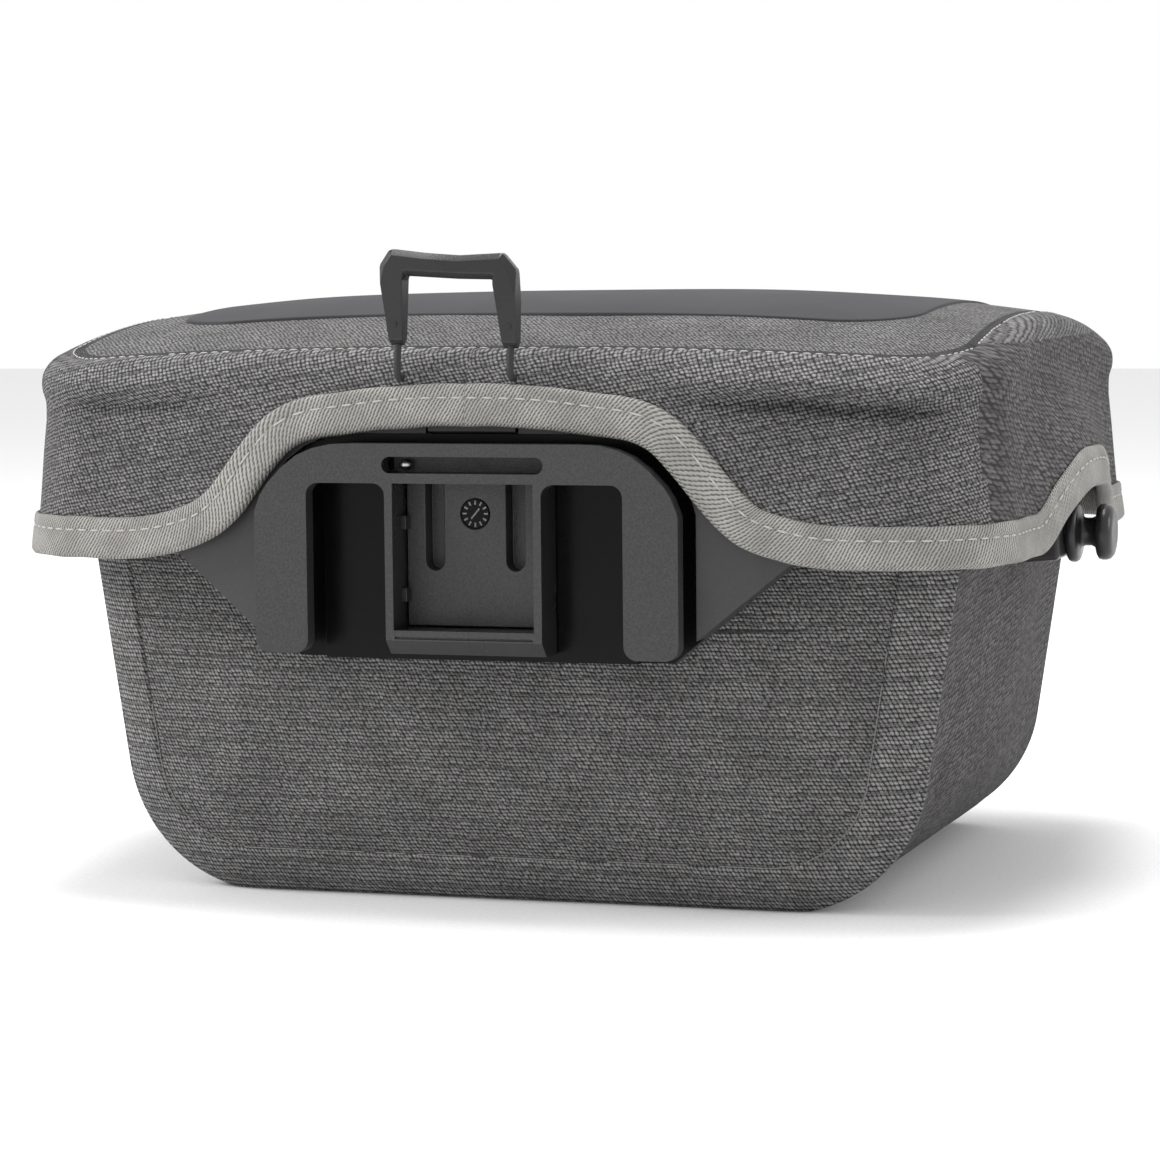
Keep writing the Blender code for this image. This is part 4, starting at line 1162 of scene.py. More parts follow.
@dataclass
class LidForm:
    """Shape of the lid: a skirt around a plan outline, a rolled shoulder and a domed top."""

    half_width: float = 126.8
    rear: float = 16.5
    front: float = 206.4
    rear_corner: float = 22.0
    front_corner: float = 24.0
    bow: float = 13.3
    edge_height: float = 87.2
    arch_half_span: float = 88.0
    arch_rise: float = 33.3
    side_rise: float = 14.1
    side_half_span: float = 50.0
    side_bow: float = 7.6
    fold_right: float = 5.6
    fold_left: float = 3.0
    knob_depth: float = 112.5
    top: float = 150.0
    drop_rear: float = 11.3
    drop_side: float = 7.5
    seam: float = 10.3
    walked: list[float] = field(default_factory=list)
    points: list[Vector] = field(default_factory=list)

    def __post_init__(self) -> None:
        """Walk the plan outline once."""
        self.points = self.outline()
        self.points.append(self.points[0].copy())
        self.walked = [0.0]
        for start, end in zip(self.points, self.points[1:]):
            self.walked.append(self.walked[-1] + (end - start).length)

    @property
    def length(self) -> float:
        """Length of the plan outline."""
        return self.walked[-1]

    def outline(self) -> list[Vector]:
        """Give the plan outline from the middle of the rear side, to the right and around."""
        flat = self.half_width - self.rear_corner
        points = [(flat * step / 110, self.rear) for step in range(111)]
        points += arc((flat, self.rear + self.rear_corner), self.rear_corner, -90, 0, 30)[1:]
        low = self.rear + self.rear_corner
        high = self.front - self.front_corner
        points += [(self.half_width, low + (high - low) * step / 150) for step in range(1, 151)]
        flat = self.half_width - self.front_corner
        points += arc((flat, high), self.front_corner, 0, 90, 30)[1:]
        points += [(flat * (1 - step / 90), self.front) for step in range(1, 91)]
        points += [(-x, y) for x, y in reversed(points[1:-1])]
        middle = (self.rear + self.front) / 2
        return [Vector((x, y - self.bowed(x, y, middle))) for x, y in points]

    def bowed(self, x: float, y: float, middle: float) -> float:
        """Give how far a plan point bows rearwards, which is less than 0 on the front half."""
        share = min(1.0, abs(x) / self.half_width)
        if y < middle:
            return self.bow * (1.0 - share**4)
        return -0.6 * (1.0 - share**2)

    def place(self, distance: float) -> Vector:
        """Give the plan point at a distance along the outline."""
        distance %= self.length
        index = min(len(self.walked) - 2, bisect_right(self.walked, distance) - 1)
        span = self.walked[index + 1] - self.walked[index]
        return self.points[index].lerp(self.points[index + 1], (distance - self.walked[index]) / span)

    def outwards(self, distance: float) -> Vector:
        """Give the outward direction in plan at a distance along the outline."""
        along = self.place(distance + 2.0) - self.place(distance - 2.0)
        return Vector((along.y, -along.x)).normalized()

    def dome(self, x: float, y: float) -> float:
        """Give the height of the domed top."""
        forward = abs(y - (self.rear + self.front) / 2) / ((self.front - self.rear) / 2)
        sideways = abs(x) / self.half_width
        sag = 0.5 * forward**2 * sideways**2
        return self.top - self.drop_rear * forward**2.2 - self.drop_side * sideways**3 - sag

    def edge(self, plan: Vector) -> float:
        """Give the height of the skirt's lower edge at a plan point."""
        if plan.y < self.rear + 1.0 and abs(plan.x) < self.arch_half_span * 1.12:
            return self.edge_height + self.arch_rise * curve(REAR_ARCH, abs(plan.x) / self.arch_half_span)
        share = abs(plan.y - (self.knob_depth - 5.5)) / self.side_half_span
        if abs(plan.x) > self.half_width - 2.0 and share < 1.0:
            return self.edge_height + self.side_rise * (1.0 - share**2.6) ** 2
        return self.edge_height

    def over_mount(self, plan: Vector) -> float:
        """Give 1 over the mount, falling to 0 towards the corners and elsewhere."""
        if plan.y > self.rear + 1.0:
            return 0.0
        return 1.0 - smooth(abs(plan.x), 38.0, 84.0)

    def crease(self, plan: Vector, below: float) -> float:
        """Give the depth of the fold under the shoulder, which runs along the rear side's outer parts.

        Args:
            plan: The plan point.
            below: Distance below the seam.

        Returns:
            How far the fold is drawn in.
        """
        if plan.y > self.rear + 1.0:
            return 0.0
        reach = (44.0, 70.0, 104.0, 122.0) if plan.x > 0.0 else (62.0, 84.0, 98.0, 116.0)
        near = smooth(abs(plan.x), reach[0], reach[1]) * (1.0 - smooth(abs(plan.x), reach[2], reach[3]))
        level = 11.6 + 2.2 * ripple(plan.x, 0.0, 30.0, 61.0)
        fold = math.exp(-(((below - level) / 1.5) ** 2))
        fold += 0.45 * smooth(below, level, level + 2.0) * math.exp(-(below - level) / 14.0)
        roll = 0.9 * math.exp(-(((below - level + 4.4) / 2.4) ** 2))
        return (self.fold_right if plan.x > 0.0 else self.fold_left) * near * (fold - roll * 0.5)

    def seam_height(self, distance: float) -> float:
        """Give the height of the top seam at a distance along the outline."""
        seam = self.place(distance) - self.outwards(distance) * self.seam
        return self.dome(seam.x, seam.y)

    def skin(self, distance: float, height: float, outset: float = 0.0) -> Vector:
        """Place a point of the skirt or of its rolled shoulder.

        Args:
            distance: Distance along the outline.
            height: Height above the bag's bottom.
            outset: Distance outside the skirt's surface.

        Returns:
            The point in metres.
        """
        plan = self.place(distance)
        out = self.outwards(distance)
        smoothed = self.over_mount(plan)
        below = self.seam_height(distance) - height
        last = ROLL[-1]
        if below <= last[0]:
            inwards = curve([(row[0], row[1] * (1 - smoothed) + row[2] * smoothed) for row in ROLL], below)
        else:
            start = last[1] * (1 - smoothed) + last[2] * smoothed
            crease = self.seam_height(distance) - last[0]
            inwards = start * max(0.0, (height - self.edge_height) / (crease - self.edge_height))
        inwards += self.crease(plan, below)
        flare = 0.0
        if abs(plan.x) > self.half_width - 2.0:
            near = 1.0 - smooth(abs(plan.y - self.knob_depth + 4.0), 6.0, 64.0)
            upper = smooth(height, self.edge_height + 16.0, self.edge_height + 48.0)
            flare = self.side_bow * near * (1.0 - upper)
        hang = smooth(height, self.edge_height + 6.0, self.edge_height + 24.0) * smooth(below, 2.0, 12.0)
        slack = 0.9 * hang * ripple(distance, height, 34.0, 14.0)
        plan = plan + out * (outset - inwards + flare + slack)
        return at(plan.x, plan.y, height)


@dataclass
class Lid:
    """The soft lid: skirt, shoulder, top, window, binding and their stitches."""

    form: LidForm
    cloth: bpy.types.Material
    side_cloth: bpy.types.Material
    film: bpy.types.Material
    tape: bpy.types.Material
    thread: bpy.types.Material
    wall: float = 1.6
    columns: int = 420
    tape_width: float = 9.2
    tape_wall: float = 0.9
    stitch_pitch: float = 3.9
    stitch_level: float = 5.9
    window_half: float = 98.0
    window_rear: float = 46.5
    window_front: float = 182.0
    window_corner: float = 22.0

    def build(self) -> list[bpy.types.Object]:
        """Make the lid's pieces.

        Returns:
            The pieces.
        """
        return [self.make_shell(), self.make_window(), self.make_binding(), *self.make_stitches()]

    def column(self, first: float) -> float:
        """Give the distance along the outline of a share, with closer columns at the rear."""
        turn = math.tau * first
        return self.form.length * (turn - 0.2 * math.sin(turn)) / math.tau

    def make_shell(self) -> bpy.types.Object:
        """Make the skirt, its rolled shoulder and the domed top as one sheet."""
        form = self.form
        skirt_share, roll_share = 0.32, 0.30
        centre = Vector((0.0, (form.rear + form.front) / 2))

        def place(first: float, second: float) -> Vector:
            """Place a point of the lid."""
            distance = self.column(first)
            seam_height = form.seam_height(distance)
            crease = seam_height - ROLL[-1][0]
            if second <= skirt_share:
                low = form.edge(form.place(distance))
                return form.skin(distance, low + (crease - low) * second / skirt_share)
            if second <= skirt_share + roll_share:
                share = (second - skirt_share) / roll_share
                below = ROLL[-1][0] * (1 - share) ** 1.6
                return form.skin(distance, seam_height - below)
            share = (second - skirt_share - roll_share) / (1 - skirt_share - roll_share)
            seam = form.place(distance) - form.outwards(distance) * form.seam
            plan = centre + (seam - centre) * (1 - share)
            dip = 0.45 * math.exp(-(((seam - plan).length) / 0.9) ** 2)
            slack = 0.35 * ripple(plan.x, plan.y, 40.0, 21.0) * smooth(share, 0.02, 0.2)
            return at(plan.x, plan.y, form.dome(plan.x, plan.y) - dip + slack)

        def cloth(first: float, second: float) -> Vector:
            """Give the cloth map there."""
            point = place(first, second)
            if second > skirt_share + roll_share + 0.0001:
                return Vector((point.x, point.y, 0.0))
            return Vector((self.column(first) * MM, point.z, 0.0))

        mesh = sheet(self.columns, 78, place, cloth)
        piece = finish(mesh, "lid_cover", self.cloth, Slot.FABRIC, ("lid_shell",))
        piece.data.materials.append(self.side_cloth)
        half = form.half_width * MM
        for polygon in piece.data.polygons:
            centre_x = abs(polygon.center.x)
            side = centre_x > half - 0.012 and polygon.center.z < (form.top - 12.0) * MM
            near = polygon.center.y > FACE_Y + (form.rear + 9.0) * MM
            polygon.material_index = 1 if side and near else 0
        thicken(piece, self.wall)
        return piece

    def window_point(self, first: float) -> Vector:
        """Give a plan point of the window's rounded outline."""
        flat_x = self.window_half - self.window_corner
        middle = (self.window_rear + self.window_front) / 2
        flat_y = (self.window_front - self.window_rear) / 2 - self.window_corner
        bend = self.window_corner * math.pi / 2
        total = 4 * (flat_x + flat_y + bend)
        walked = (first * total) % total
        runs = (flat_x, bend, 2 * flat_y, bend, 2 * flat_x, bend, 2 * flat_y, bend, flat_x)
        ends = ((1, -1, -90), (1, 1, 0), (-1, 1, 90), (-1, -1, 180))
        corners = [(x * flat_x, y * flat_y, start) for x, y, start in ends]
        reach = self.window_corner
        for index, run in enumerate(runs):
            if walked <= run or index == len(runs) - 1:
                break
            walked -= run
        if index % 2:
            x, y, start = corners[index // 2]
            angle = math.radians(start + 90 * walked / run)
            return Vector((x + reach * math.cos(angle), middle + y + reach * math.sin(angle)))
        straight = {
            0: (walked, -flat_y - reach),
            2: (flat_x + reach, -flat_y + walked),
            4: (flat_x - walked, flat_y + reach),
            6: (-flat_x - reach, flat_y - walked),
            8: (-flat_x + walked, -flat_y - reach),
        }
        x, y = straight[index]
        return Vector((x, middle + y))

    def make_window(self) -> bpy.types.Object:
        """Make the smooth film panel that is let into the lid's top."""
        form = self.form
        centre = Vector((0.0, (self.window_rear + self.window_front) / 2))
        rim = ((0.0, -0.4), (0.05, 0.25), (0.10, 0.55), (0.16, 0.62), (1.0, 0.62))

        def place(first: float, second: float) -> Vector:
            """Place a point of the film."""
            edge = self.window_point(first)
            share = max(0.0, (second - 0.16) / 0.84)
            inset = min(1.0, second / 0.16) * 0.7
            towards = (centre - edge).normalized()
            plan = edge + towards * inset
            plan = plan.lerp(centre, share)
            wave = 0.5 * ripple(plan.x, plan.y, 48.0, 33.0) * smooth(share, 0.0, 0.25)
            return at(plan.x, plan.y, form.dome(plan.x, plan.y) + curve(rim, second) + wave)

        mesh = sheet(200, 40, place, level(place))
        piece = finish(mesh, "window_panel", self.film, Slot.FILM, ("lid_window",))
        thicken(piece, 0.6)
        return piece

    def tape_point(self, distance: float, up: float, outset: float) -> Vector:
        """Place a point on the binding.

        Args:
            distance: Distance along the outline.
            up: Distance from the skirt's edge, square to it.
            outset: Distance outside the skirt.

        Returns:
            The point in metres.
        """
        form = self.form
        reach = 1.2
        low = form.edge(form.place(distance - reach))
        high = form.edge(form.place(distance + reach))
        along = Vector((2 * reach, high - low)).normalized()
        height = form.edge(form.place(distance))
        return form.skin(distance - along.y * up, height + along.x * up, outset)

    def make_binding(self) -> bpy.types.Object:
        """Make the tape that is folded around the skirt's edge and sewn through."""
        wide = self.tape_width
        far = 0.25 + self.tape_wall
        inner = -self.wall
        section = (
            # up, outwards
            (0.0, far + 0.15),
            (1.5, far + 0.20),
            (3.2, far + 0.12),
            (5.2, far - 0.02),
            (self.stitch_level, far - 0.32),
            (6.6, far - 0.02),
            (wide - 0.9, far),
            (wide - 0.2, far - 0.25),
            (wide, 0.45),
            (wide - 0.2, 0.12),
            (4.0, 0.10),
            (-0.3, 0.10),
            (-0.3, inner - 0.10),
            (4.0, inner - 0.10),
            (wide - 0.2, inner - 0.15),
            (wide, inner - 0.50),
            (wide - 0.3, inner - far + 0.15),
            (4.0, inner - far),
            (0.5, inner - far - 0.1),
            (-0.8, inner - 0.7),
            (-1.15, inner * 0.5),
            (-0.8, 0.8),
            (0.0, far + 0.15),
        )
        rows = len(section) - 1
        lengths = [0.0]
        for start, end in zip(section, section[1:]):
            lengths.append(lengths[-1] + math.hypot(end[0] - start[0], end[1] - start[1]))

        def place(first: float, second: float) -> Vector:
            """Place a point of the tape."""
            distance = self.column(first)
            up, outset = section[round(second * rows)]
            near = smooth(abs(up - self.stitch_level), 4.0, 1.0)
            pull = 0.14 * math.sin(distance / 1.9) * near if outset > 0.3 else 0.0
            return self.tape_point(distance, up + 0.35 * ripple(distance, 0.0, 11.0, 3.0), outset - pull)

        def cloth(first: float, second: float) -> Vector:
            """Give the cloth map there."""
            return Vector((self.column(first) * MM, lengths[round(second * rows)] * MM, 0.0))

        mesh = sheet(560, rows, place, cloth)
        return finish(mesh, "edge_tape", self.tape, Slot.TAPE, ("lid_binding",))

    def make_stitches(self) -> list[bpy.types.Object]:
        """Make the two rows of stitches, along the tape and along the top seam.

        Returns:
            The two rows as pieces.
        """
        form = self.form
        tape_row = bmesh.new()
        count = round(form.length / self.stitch_pitch)
        level = 0.25 + self.tape_wall - 0.18
        for index in range(count):
            start = form.length * (index + 0.12) / count
            end = form.length * (index + 0.86) / count
            ends = [self.tape_point(distance, self.stitch_level, level) for distance in (start, end)]
            stitch(tape_row, ends[0], ends[1], 0.00030)
        seam_row = bmesh.new()
        count = round(form.length / 3.1)
        for index in range(count):
            if ripple(index * 1.0, 0.0, 2.6, 71.0) < -0.28:
                continue
            places = []
            for part in (0.1, 0.82):
                distance = form.length * (index + part) / count
                wobble = 0.35 * ripple(distance, 0.0, 7.0, 51.0)
                plan = form.place(distance) - form.outwards(distance) * (form.seam + wobble)
                places.append(at(plan.x, plan.y, form.dome(plan.x, plan.y) + 0.05))
            stitch(seam_row, places[0], places[1], 0.00025)
        return [
            finish(tape_row, "tape_stitches", self.thread, Slot.TAPE),
            finish(seam_row, "seam_stitches", self.thread, Slot.TAPE),
        ]


# The mount


@dataclass
class Mount:
    """The handlebar mount: plate, frame, socket, dial, slot pin and release tab."""

    frame_plastic: bpy.types.Material
    plate_plastic: bpy.types.Material
    dark_plastic_and_shade: bpy.types.Material
    recess_shade_black: bpy.types.Material
    tick_highlight_grey: bpy.types.Material
    pin_metal: bpy.types.Material
    body: BodyForm
    half_width: float = 53.3
    bottom: float = 64.7
    top: float = 115.5
    thickness: float = 4.5
    leg_inner: float = 39.8
    leg_corner: float = 3.4
    bar_underside: float = 106.0
    rib_outer: float = 19.7
    rib_inner: float = 17.7
    socket_bottom: float = 70.7
    slot_bottom: float = 108.4
    slot_top: float = 112.4
    slot_half: float = 20.3
    pocket_depth: float = 10.7
    insert_depth: float = 9.5
    rim_depth: float = 8.0
    dial_height: float = 98.3

    def build(self) -> list[bpy.types.Object]:
        """Make the mount's pieces.

        Returns:
            The pieces.
        """
        return [
            self.make_frame(),
            self.make_plate(),
            self.make_insert(),
            *self.make_dial(),
            *(self.make_catch(height) for height in (77.0, 94.5)),
            self.make_pin(),
            self.make_tab(),
        ]

    def arch(self, grow: float = 0.0, bottom: float | None = None) -> list[tuple[float, float]]:
        """Give the frame's arched outline.

        Args:
            grow: Distance that the outline is grown by.
            bottom: Height of its lower end, where it differs.

        Returns:
            The outline's points.
        """
        low = self.bottom if bottom is None else bottom
        shoulder = (
            # across, height
            (52.9, 99.9),
            (51.7, 103.0),
            (49.9, 105.7),
            (46.2, 109.6),
            (42.2, 112.6),
            (38.2, 114.3),
            (33.5, 115.3),
            (28.0, self.top),
        )
        half = [(self.half_width + grow, low), (self.half_width + grow, 98.6)]
        for across, height in shoulder:
            direction = Vector((across - 28.0, height - 90.0)).normalized() * grow
            half.append((across + direction.x, height + direction.y))
        return mirrored(half)

    def make_frame(self) -> bpy.types.Object:
        """Make the arched frame with its legs, ribs, slot and lower block."""
        solid = extruded(self.arch(), 0.0, self.thickness)
        low_corner = (-self.rib_outer, 0.0, self.bottom)
        ribs = box(low_corner, (self.rib_outer, self.pocket_depth + 0.6, 112.9))
        cuts = []
        for side in Side:
            low, high = sorted((side.value * self.rib_outer, side.value * self.leg_inner))
            reach = 3.0
            outline = [(low, self.bottom - 9.0), (high, self.bottom - 9.0)]
            outline += arc((high - reach, self.bar_underside - reach), reach, 0, 90)
            outline += arc((low + reach, self.bar_underside - reach), reach, 90, 180)
            cuts.append(extruded(outline, -3.0, 9.0))
            for edge, turn in ((self.half_width, 1), (self.leg_inner, -1)):
                cuts.append(self.corner_cut(side.value * edge, side.value * turn))
        low_corner = (-self.rib_inner, -2.0, self.socket_bottom)
        cuts.append(box(low_corner, (self.rib_inner, 30.0, self.bar_underside)))
        radius = (self.slot_top - self.slot_bottom) / 2
        middle = (self.slot_top + self.slot_bottom) / 2
        end = self.slot_half - radius
        slot = arc((end, middle), radius, -90, 90, 12) + arc((-end, middle), radius, 90, 270, 12)
        cuts.append(extruded(slot, -2.0, 7.2))
        chamfer = bmesh.new()
        bmesh.ops.create_cube(chamfer, size=1.0)
        wide = Matrix.Diagonal((0.045, 0.008, 0.008, 1.0))
        lean = Matrix.Rotation(math.radians(45), 4, "X")
        lower_edge = Matrix.Translation(at(0.0, -1.2, self.bottom - 0.9))
        bmesh.ops.transform(chamfer, matrix=lower_edge @ lean @ wide, verts=chamfer.verts)
        cuts.append(chamfer)
        cuts.append(box((-self.rib_inner + 0.3, -1.0, 68.6), (self.rib_inner - 0.3, 0.7, 69.2)))
        mesh = carve(solid, cuts, [ribs], 0.4, 3)
        piece = finish(mesh, "mount_frame", self.frame_plastic, Slot.BRACKET, ("bracket_frame",))
        # Painted shade: faces inside the socket and slot that don't face forwards, and the lower block's
        # underside, take the darker plastic in place of the shade that falls there.
        piece.data.materials.append(self.dark_plastic_and_shade)
        for polygon in piece.data.polygons:
            inner = abs(polygon.center.x) < (self.slot_half + 0.2) * MM and polygon.normal.y > -0.75
            low = abs(polygon.center.x) < (self.rib_outer + 0.1) * MM and polygon.center.z < 68.5 * MM
            if low or (inner and polygon.center.z < 112.6 * MM):
                polygon.material_index = 1
        return weigh_normals(piece)

    def corner_cut(self, edge: float, turn: float) -> bmesh.types.BMesh:
        """Give the cutter that rounds one lower corner of a leg.

        Args:
            edge: The leg's edge, across.
            turn: 1 where the leg lies to the left of that edge, -1 where it lies to the right.

        Returns:
            The cutter.
        """
        reach = self.leg_corner
        centre = (edge - turn * reach, self.bottom + reach)
        bend = arc(centre, reach, 0 if turn > 0 else 180, -90 if turn > 0 else 270, 8)
        low = self.bottom - 1.0
        outline = [(edge + turn, centre[1])] + bend + [(centre[0], low), (edge + turn, low)]
        return extruded(outline, -2.0, 7.0)

    def make_plate(self) -> bpy.types.Object:
        """Make the plate behind the frame, with its wings and recesses."""
        half = [(47.8, self.bottom - 2.2), (84.0, 92.4), (84.0, 98.0), (63.0, 103.0), (45.0, 125.0)]
        solid = extruded(mirrored(half), 2.0, 30.0)
        back = []
        for step in range(25):
            across = -90.0 + 180.0 * step / 24
            depth = min(self.body.rear(across, height) for height in (70.0, 85.0, 100.0, 125.0))
            back.append((across, depth - 0.6))
        front = [(across, self.front_depth(abs(across))) for across in (90.0, 56.0, -56.0, -90.0)]
        profile = bmesh.new()
        verts = [profile.verts.new(at(across, depth, 55.0)) for across, depth in back + front]
        face = profile.faces.new(verts)
        grown = bmesh.ops.extrude_face_region(profile, geom=[face])
        moved = [item for item in grown["geom"] if isinstance(item, bmesh.types.BMVert)]
        bmesh.ops.translate(profile, verts=moved, vec=(0.0, 0.0, 0.080))
        bmesh.ops.recalc_face_normals(profile, faces=profile.faces)
        trimmed = self.intersect(solid, profile)
        cuts = [extruded(self.arch(2.1, self.bottom - 8.0), 1.0, 12.2)]
        for side in Side:
            low, high = sorted((side.value * self.leg_inner, side.value * (self.half_width + 2.1)))
            cuts.append(box((low, 9.0, self.bottom - 8.0), (high, 15.6, self.bar_underside - 3.0)))
        wide = self.rib_inner + 0.5
        cuts.append(box((-wide, 9.0, self.socket_bottom - 0.5), (wide, 15.6, self.bar_underside + 0.5)))
        cuts.append(extruded(self.tab_outline(0.5), 2.0, 13.0))
        mesh = carve(trimmed, cuts, (), 0.7, 3)
        piece = finish(mesh, "mount_plate", self.plate_plastic, Slot.DARK, ("bracket_plate",))
        # Painted shade: the recesses' floors and walls behind the frame take a near-black plastic for the
        # shade inside them.
        piece.data.materials.append(self.recess_shade_black)
        limit = FACE_Y + (self.rim_depth + 0.8) * MM
        for polygon in piece.data.polygons:
            arch = abs(polygon.center.x) < (self.half_width + 2.3) * MM
            if arch and limit < polygon.center.y < FACE_Y + 16.0 * MM:
                polygon.material_index = 1
        return weigh_normals(piece)

    def front_depth(self, across: float) -> float:
        """Give the depth of the wings' swept front at a distance from the middle."""
        return self.rim_depth + 0.15 * max(0.0, across - 55.5)

    def intersect(self, solid: bmesh.types.BMesh, other: bmesh.types.BMesh) -> bmesh.types.BMesh:
        """Keep what two solids share.

        Args:
            solid: The first solid.
            other: The second solid.

        Returns:
            Their common part.
        """
        base, tool = scratch(solid, "base"), scratch(other, "tool")
        modifier = base.modifiers.new("shape", "BOOLEAN")
        modifier.operation = "INTERSECT"
        modifier.solver = "EXACT"
        modifier.object = tool
        bpy.context.view_layer.update()
        mesh = bmesh.new()
        mesh.from_mesh(base.evaluated_get(bpy.context.evaluated_depsgraph_get()).to_mesh())
        bpy.data.objects.remove(base)
        bpy.data.objects.remove(tool)
        return mesh

    def make_insert(self) -> bpy.types.Object:
        """Make the insert at the back of the socket."""
        solid = box(
            (-self.rib_inner + 0.3, self.insert_depth, self.socket_bottom + 0.3),
            (self.rib_inner - 0.3, 15.0, self.bar_underside - 0.3),
        )
        cuts = []
        for side in Side:
            middle = side.value * 10.25
            outline = arc((middle, 86.9), 2.35, 180, 360, 12)
            outline += [(middle + 2.35, 108.0), (middle - 2.35, 108.0)]
            cuts.append(extruded(outline, 5.0, 14.2))
        seat = arc((0.0, self.dial_height), 3.75, 0, 360, 32)[:-1]
        cuts.append(extruded(seat, 5.0, self.insert_depth + 0.9))
        mesh = carve(solid, cuts, (), 0.3, 2)
        piece = finish(mesh, "socket_floor", self.frame_plastic, Slot.BRACKET, ("socket_insert",))
        return weigh_normals(piece)

    def make_dial(self) -> list[bpy.types.Object]:
        """Make the small ticked disc in the socket's floor.

        Returns:
            The disc and its ticks.
        """
        rim = arc((0.0, self.dial_height), 3.45, 0, 360, 40)[:-1]
        disc = extruded(rim, self.insert_depth + 0.35, self.insert_depth + 0.95)
        round_edges(disc, 0.12)
        ticks = bmesh.new()
        for index in range(12):
            matrix = Matrix.Translation(at(0.0, self.insert_depth + 0.33, self.dial_height))
            matrix = matrix @ Matrix.Rotation(math.tau * index / 12, 4, "Y")
            matrix = matrix @ Matrix.Translation((0.0, 0.0, 0.0027))
            tick = Matrix.Diagonal((0.0004, 0.00024, 0.0010, 1.0))
            bmesh.ops.create_cube(ticks, size=1.0, matrix=matrix @ tick)
        hand = Matrix.Translation(at(0.0, self.insert_depth + 0.31, self.dial_height))
        hand = hand @ Matrix.Rotation(math.radians(40), 4, "Y")
        slim = Matrix.Diagonal((0.0004, 0.0002, 0.0032, 1.0))
        bmesh.ops.create_cube(ticks, size=1.0, matrix=hand @ slim)
        # Painted shade and highlight: the sunken disc takes the near-black recess shade, and the raised
        # ticks a pale grey for the light their edges catch.
        return [
            weigh_normals(finish(disc, "dial_disc", self.recess_shade_black, Slot.DARK, ("socket_dial",))),
            finish(ticks, "dial_ticks", self.tick_highlight_grey, Slot.BRACKET, (), False),
        ]

    def make_catch(self, height: float) -> bpy.types.Object:
        """Make one of the two small catches on the socket's left wall.

        Args:
            height: Height of its lower side.

        Returns:
            The catch.
        """
        mesh = box((-self.rib_inner - 0.4, 6.0, height), (-self.rib_inner + 1.3, 9.4, height + 3.4))
        round_edges(mesh, 0.2)
        return weigh_normals(finish(mesh, "catch_%d" % height, self.dark_plastic_and_shade, Slot.DARK))

    def make_pin(self) -> bpy.types.Object:
        """Make the small bright pin in the slot's left end."""
        mesh = bmesh.new()
        place = Matrix.Translation(at(-16.1, 5.4, 110.2)) @ Matrix.Diagonal((0.0016, 0.0013, 0.0013, 1.0))
        bmesh.ops.create_uvsphere(mesh, u_segments=20, v_segments=12, radius=1.0, matrix=place)
        return finish(mesh, "slot_bead", self.pin_metal, Slot.PIN, ("slot_pin",))

    def tab_outline(self, grow: float = 0.0) -> list[tuple[float, float]]:
        """Give the release tab's T-shaped outline, grown by a distance."""
        low = 117.9
        half = [
            (11.2 + grow, low - grow),
            (11.2 + grow, 120.0 - grow),
            (19.5 + grow, 120.6 - grow),
            (19.5 + grow, 125.0 + 4.0 * grow),
        ]
        return mirrored(half)

    def make_tab(self) -> bpy.types.Object:
        """Make the release tab above the frame."""
        mesh = carve(extruded(self.tab_outline(), 7.6, 12.1), (), (), 0.35, 2)
        piece = finish(mesh, "tab_plate", self.dark_plastic_and_shade, Slot.DARK, ("release_tab",))
        return weigh_normals(piece)


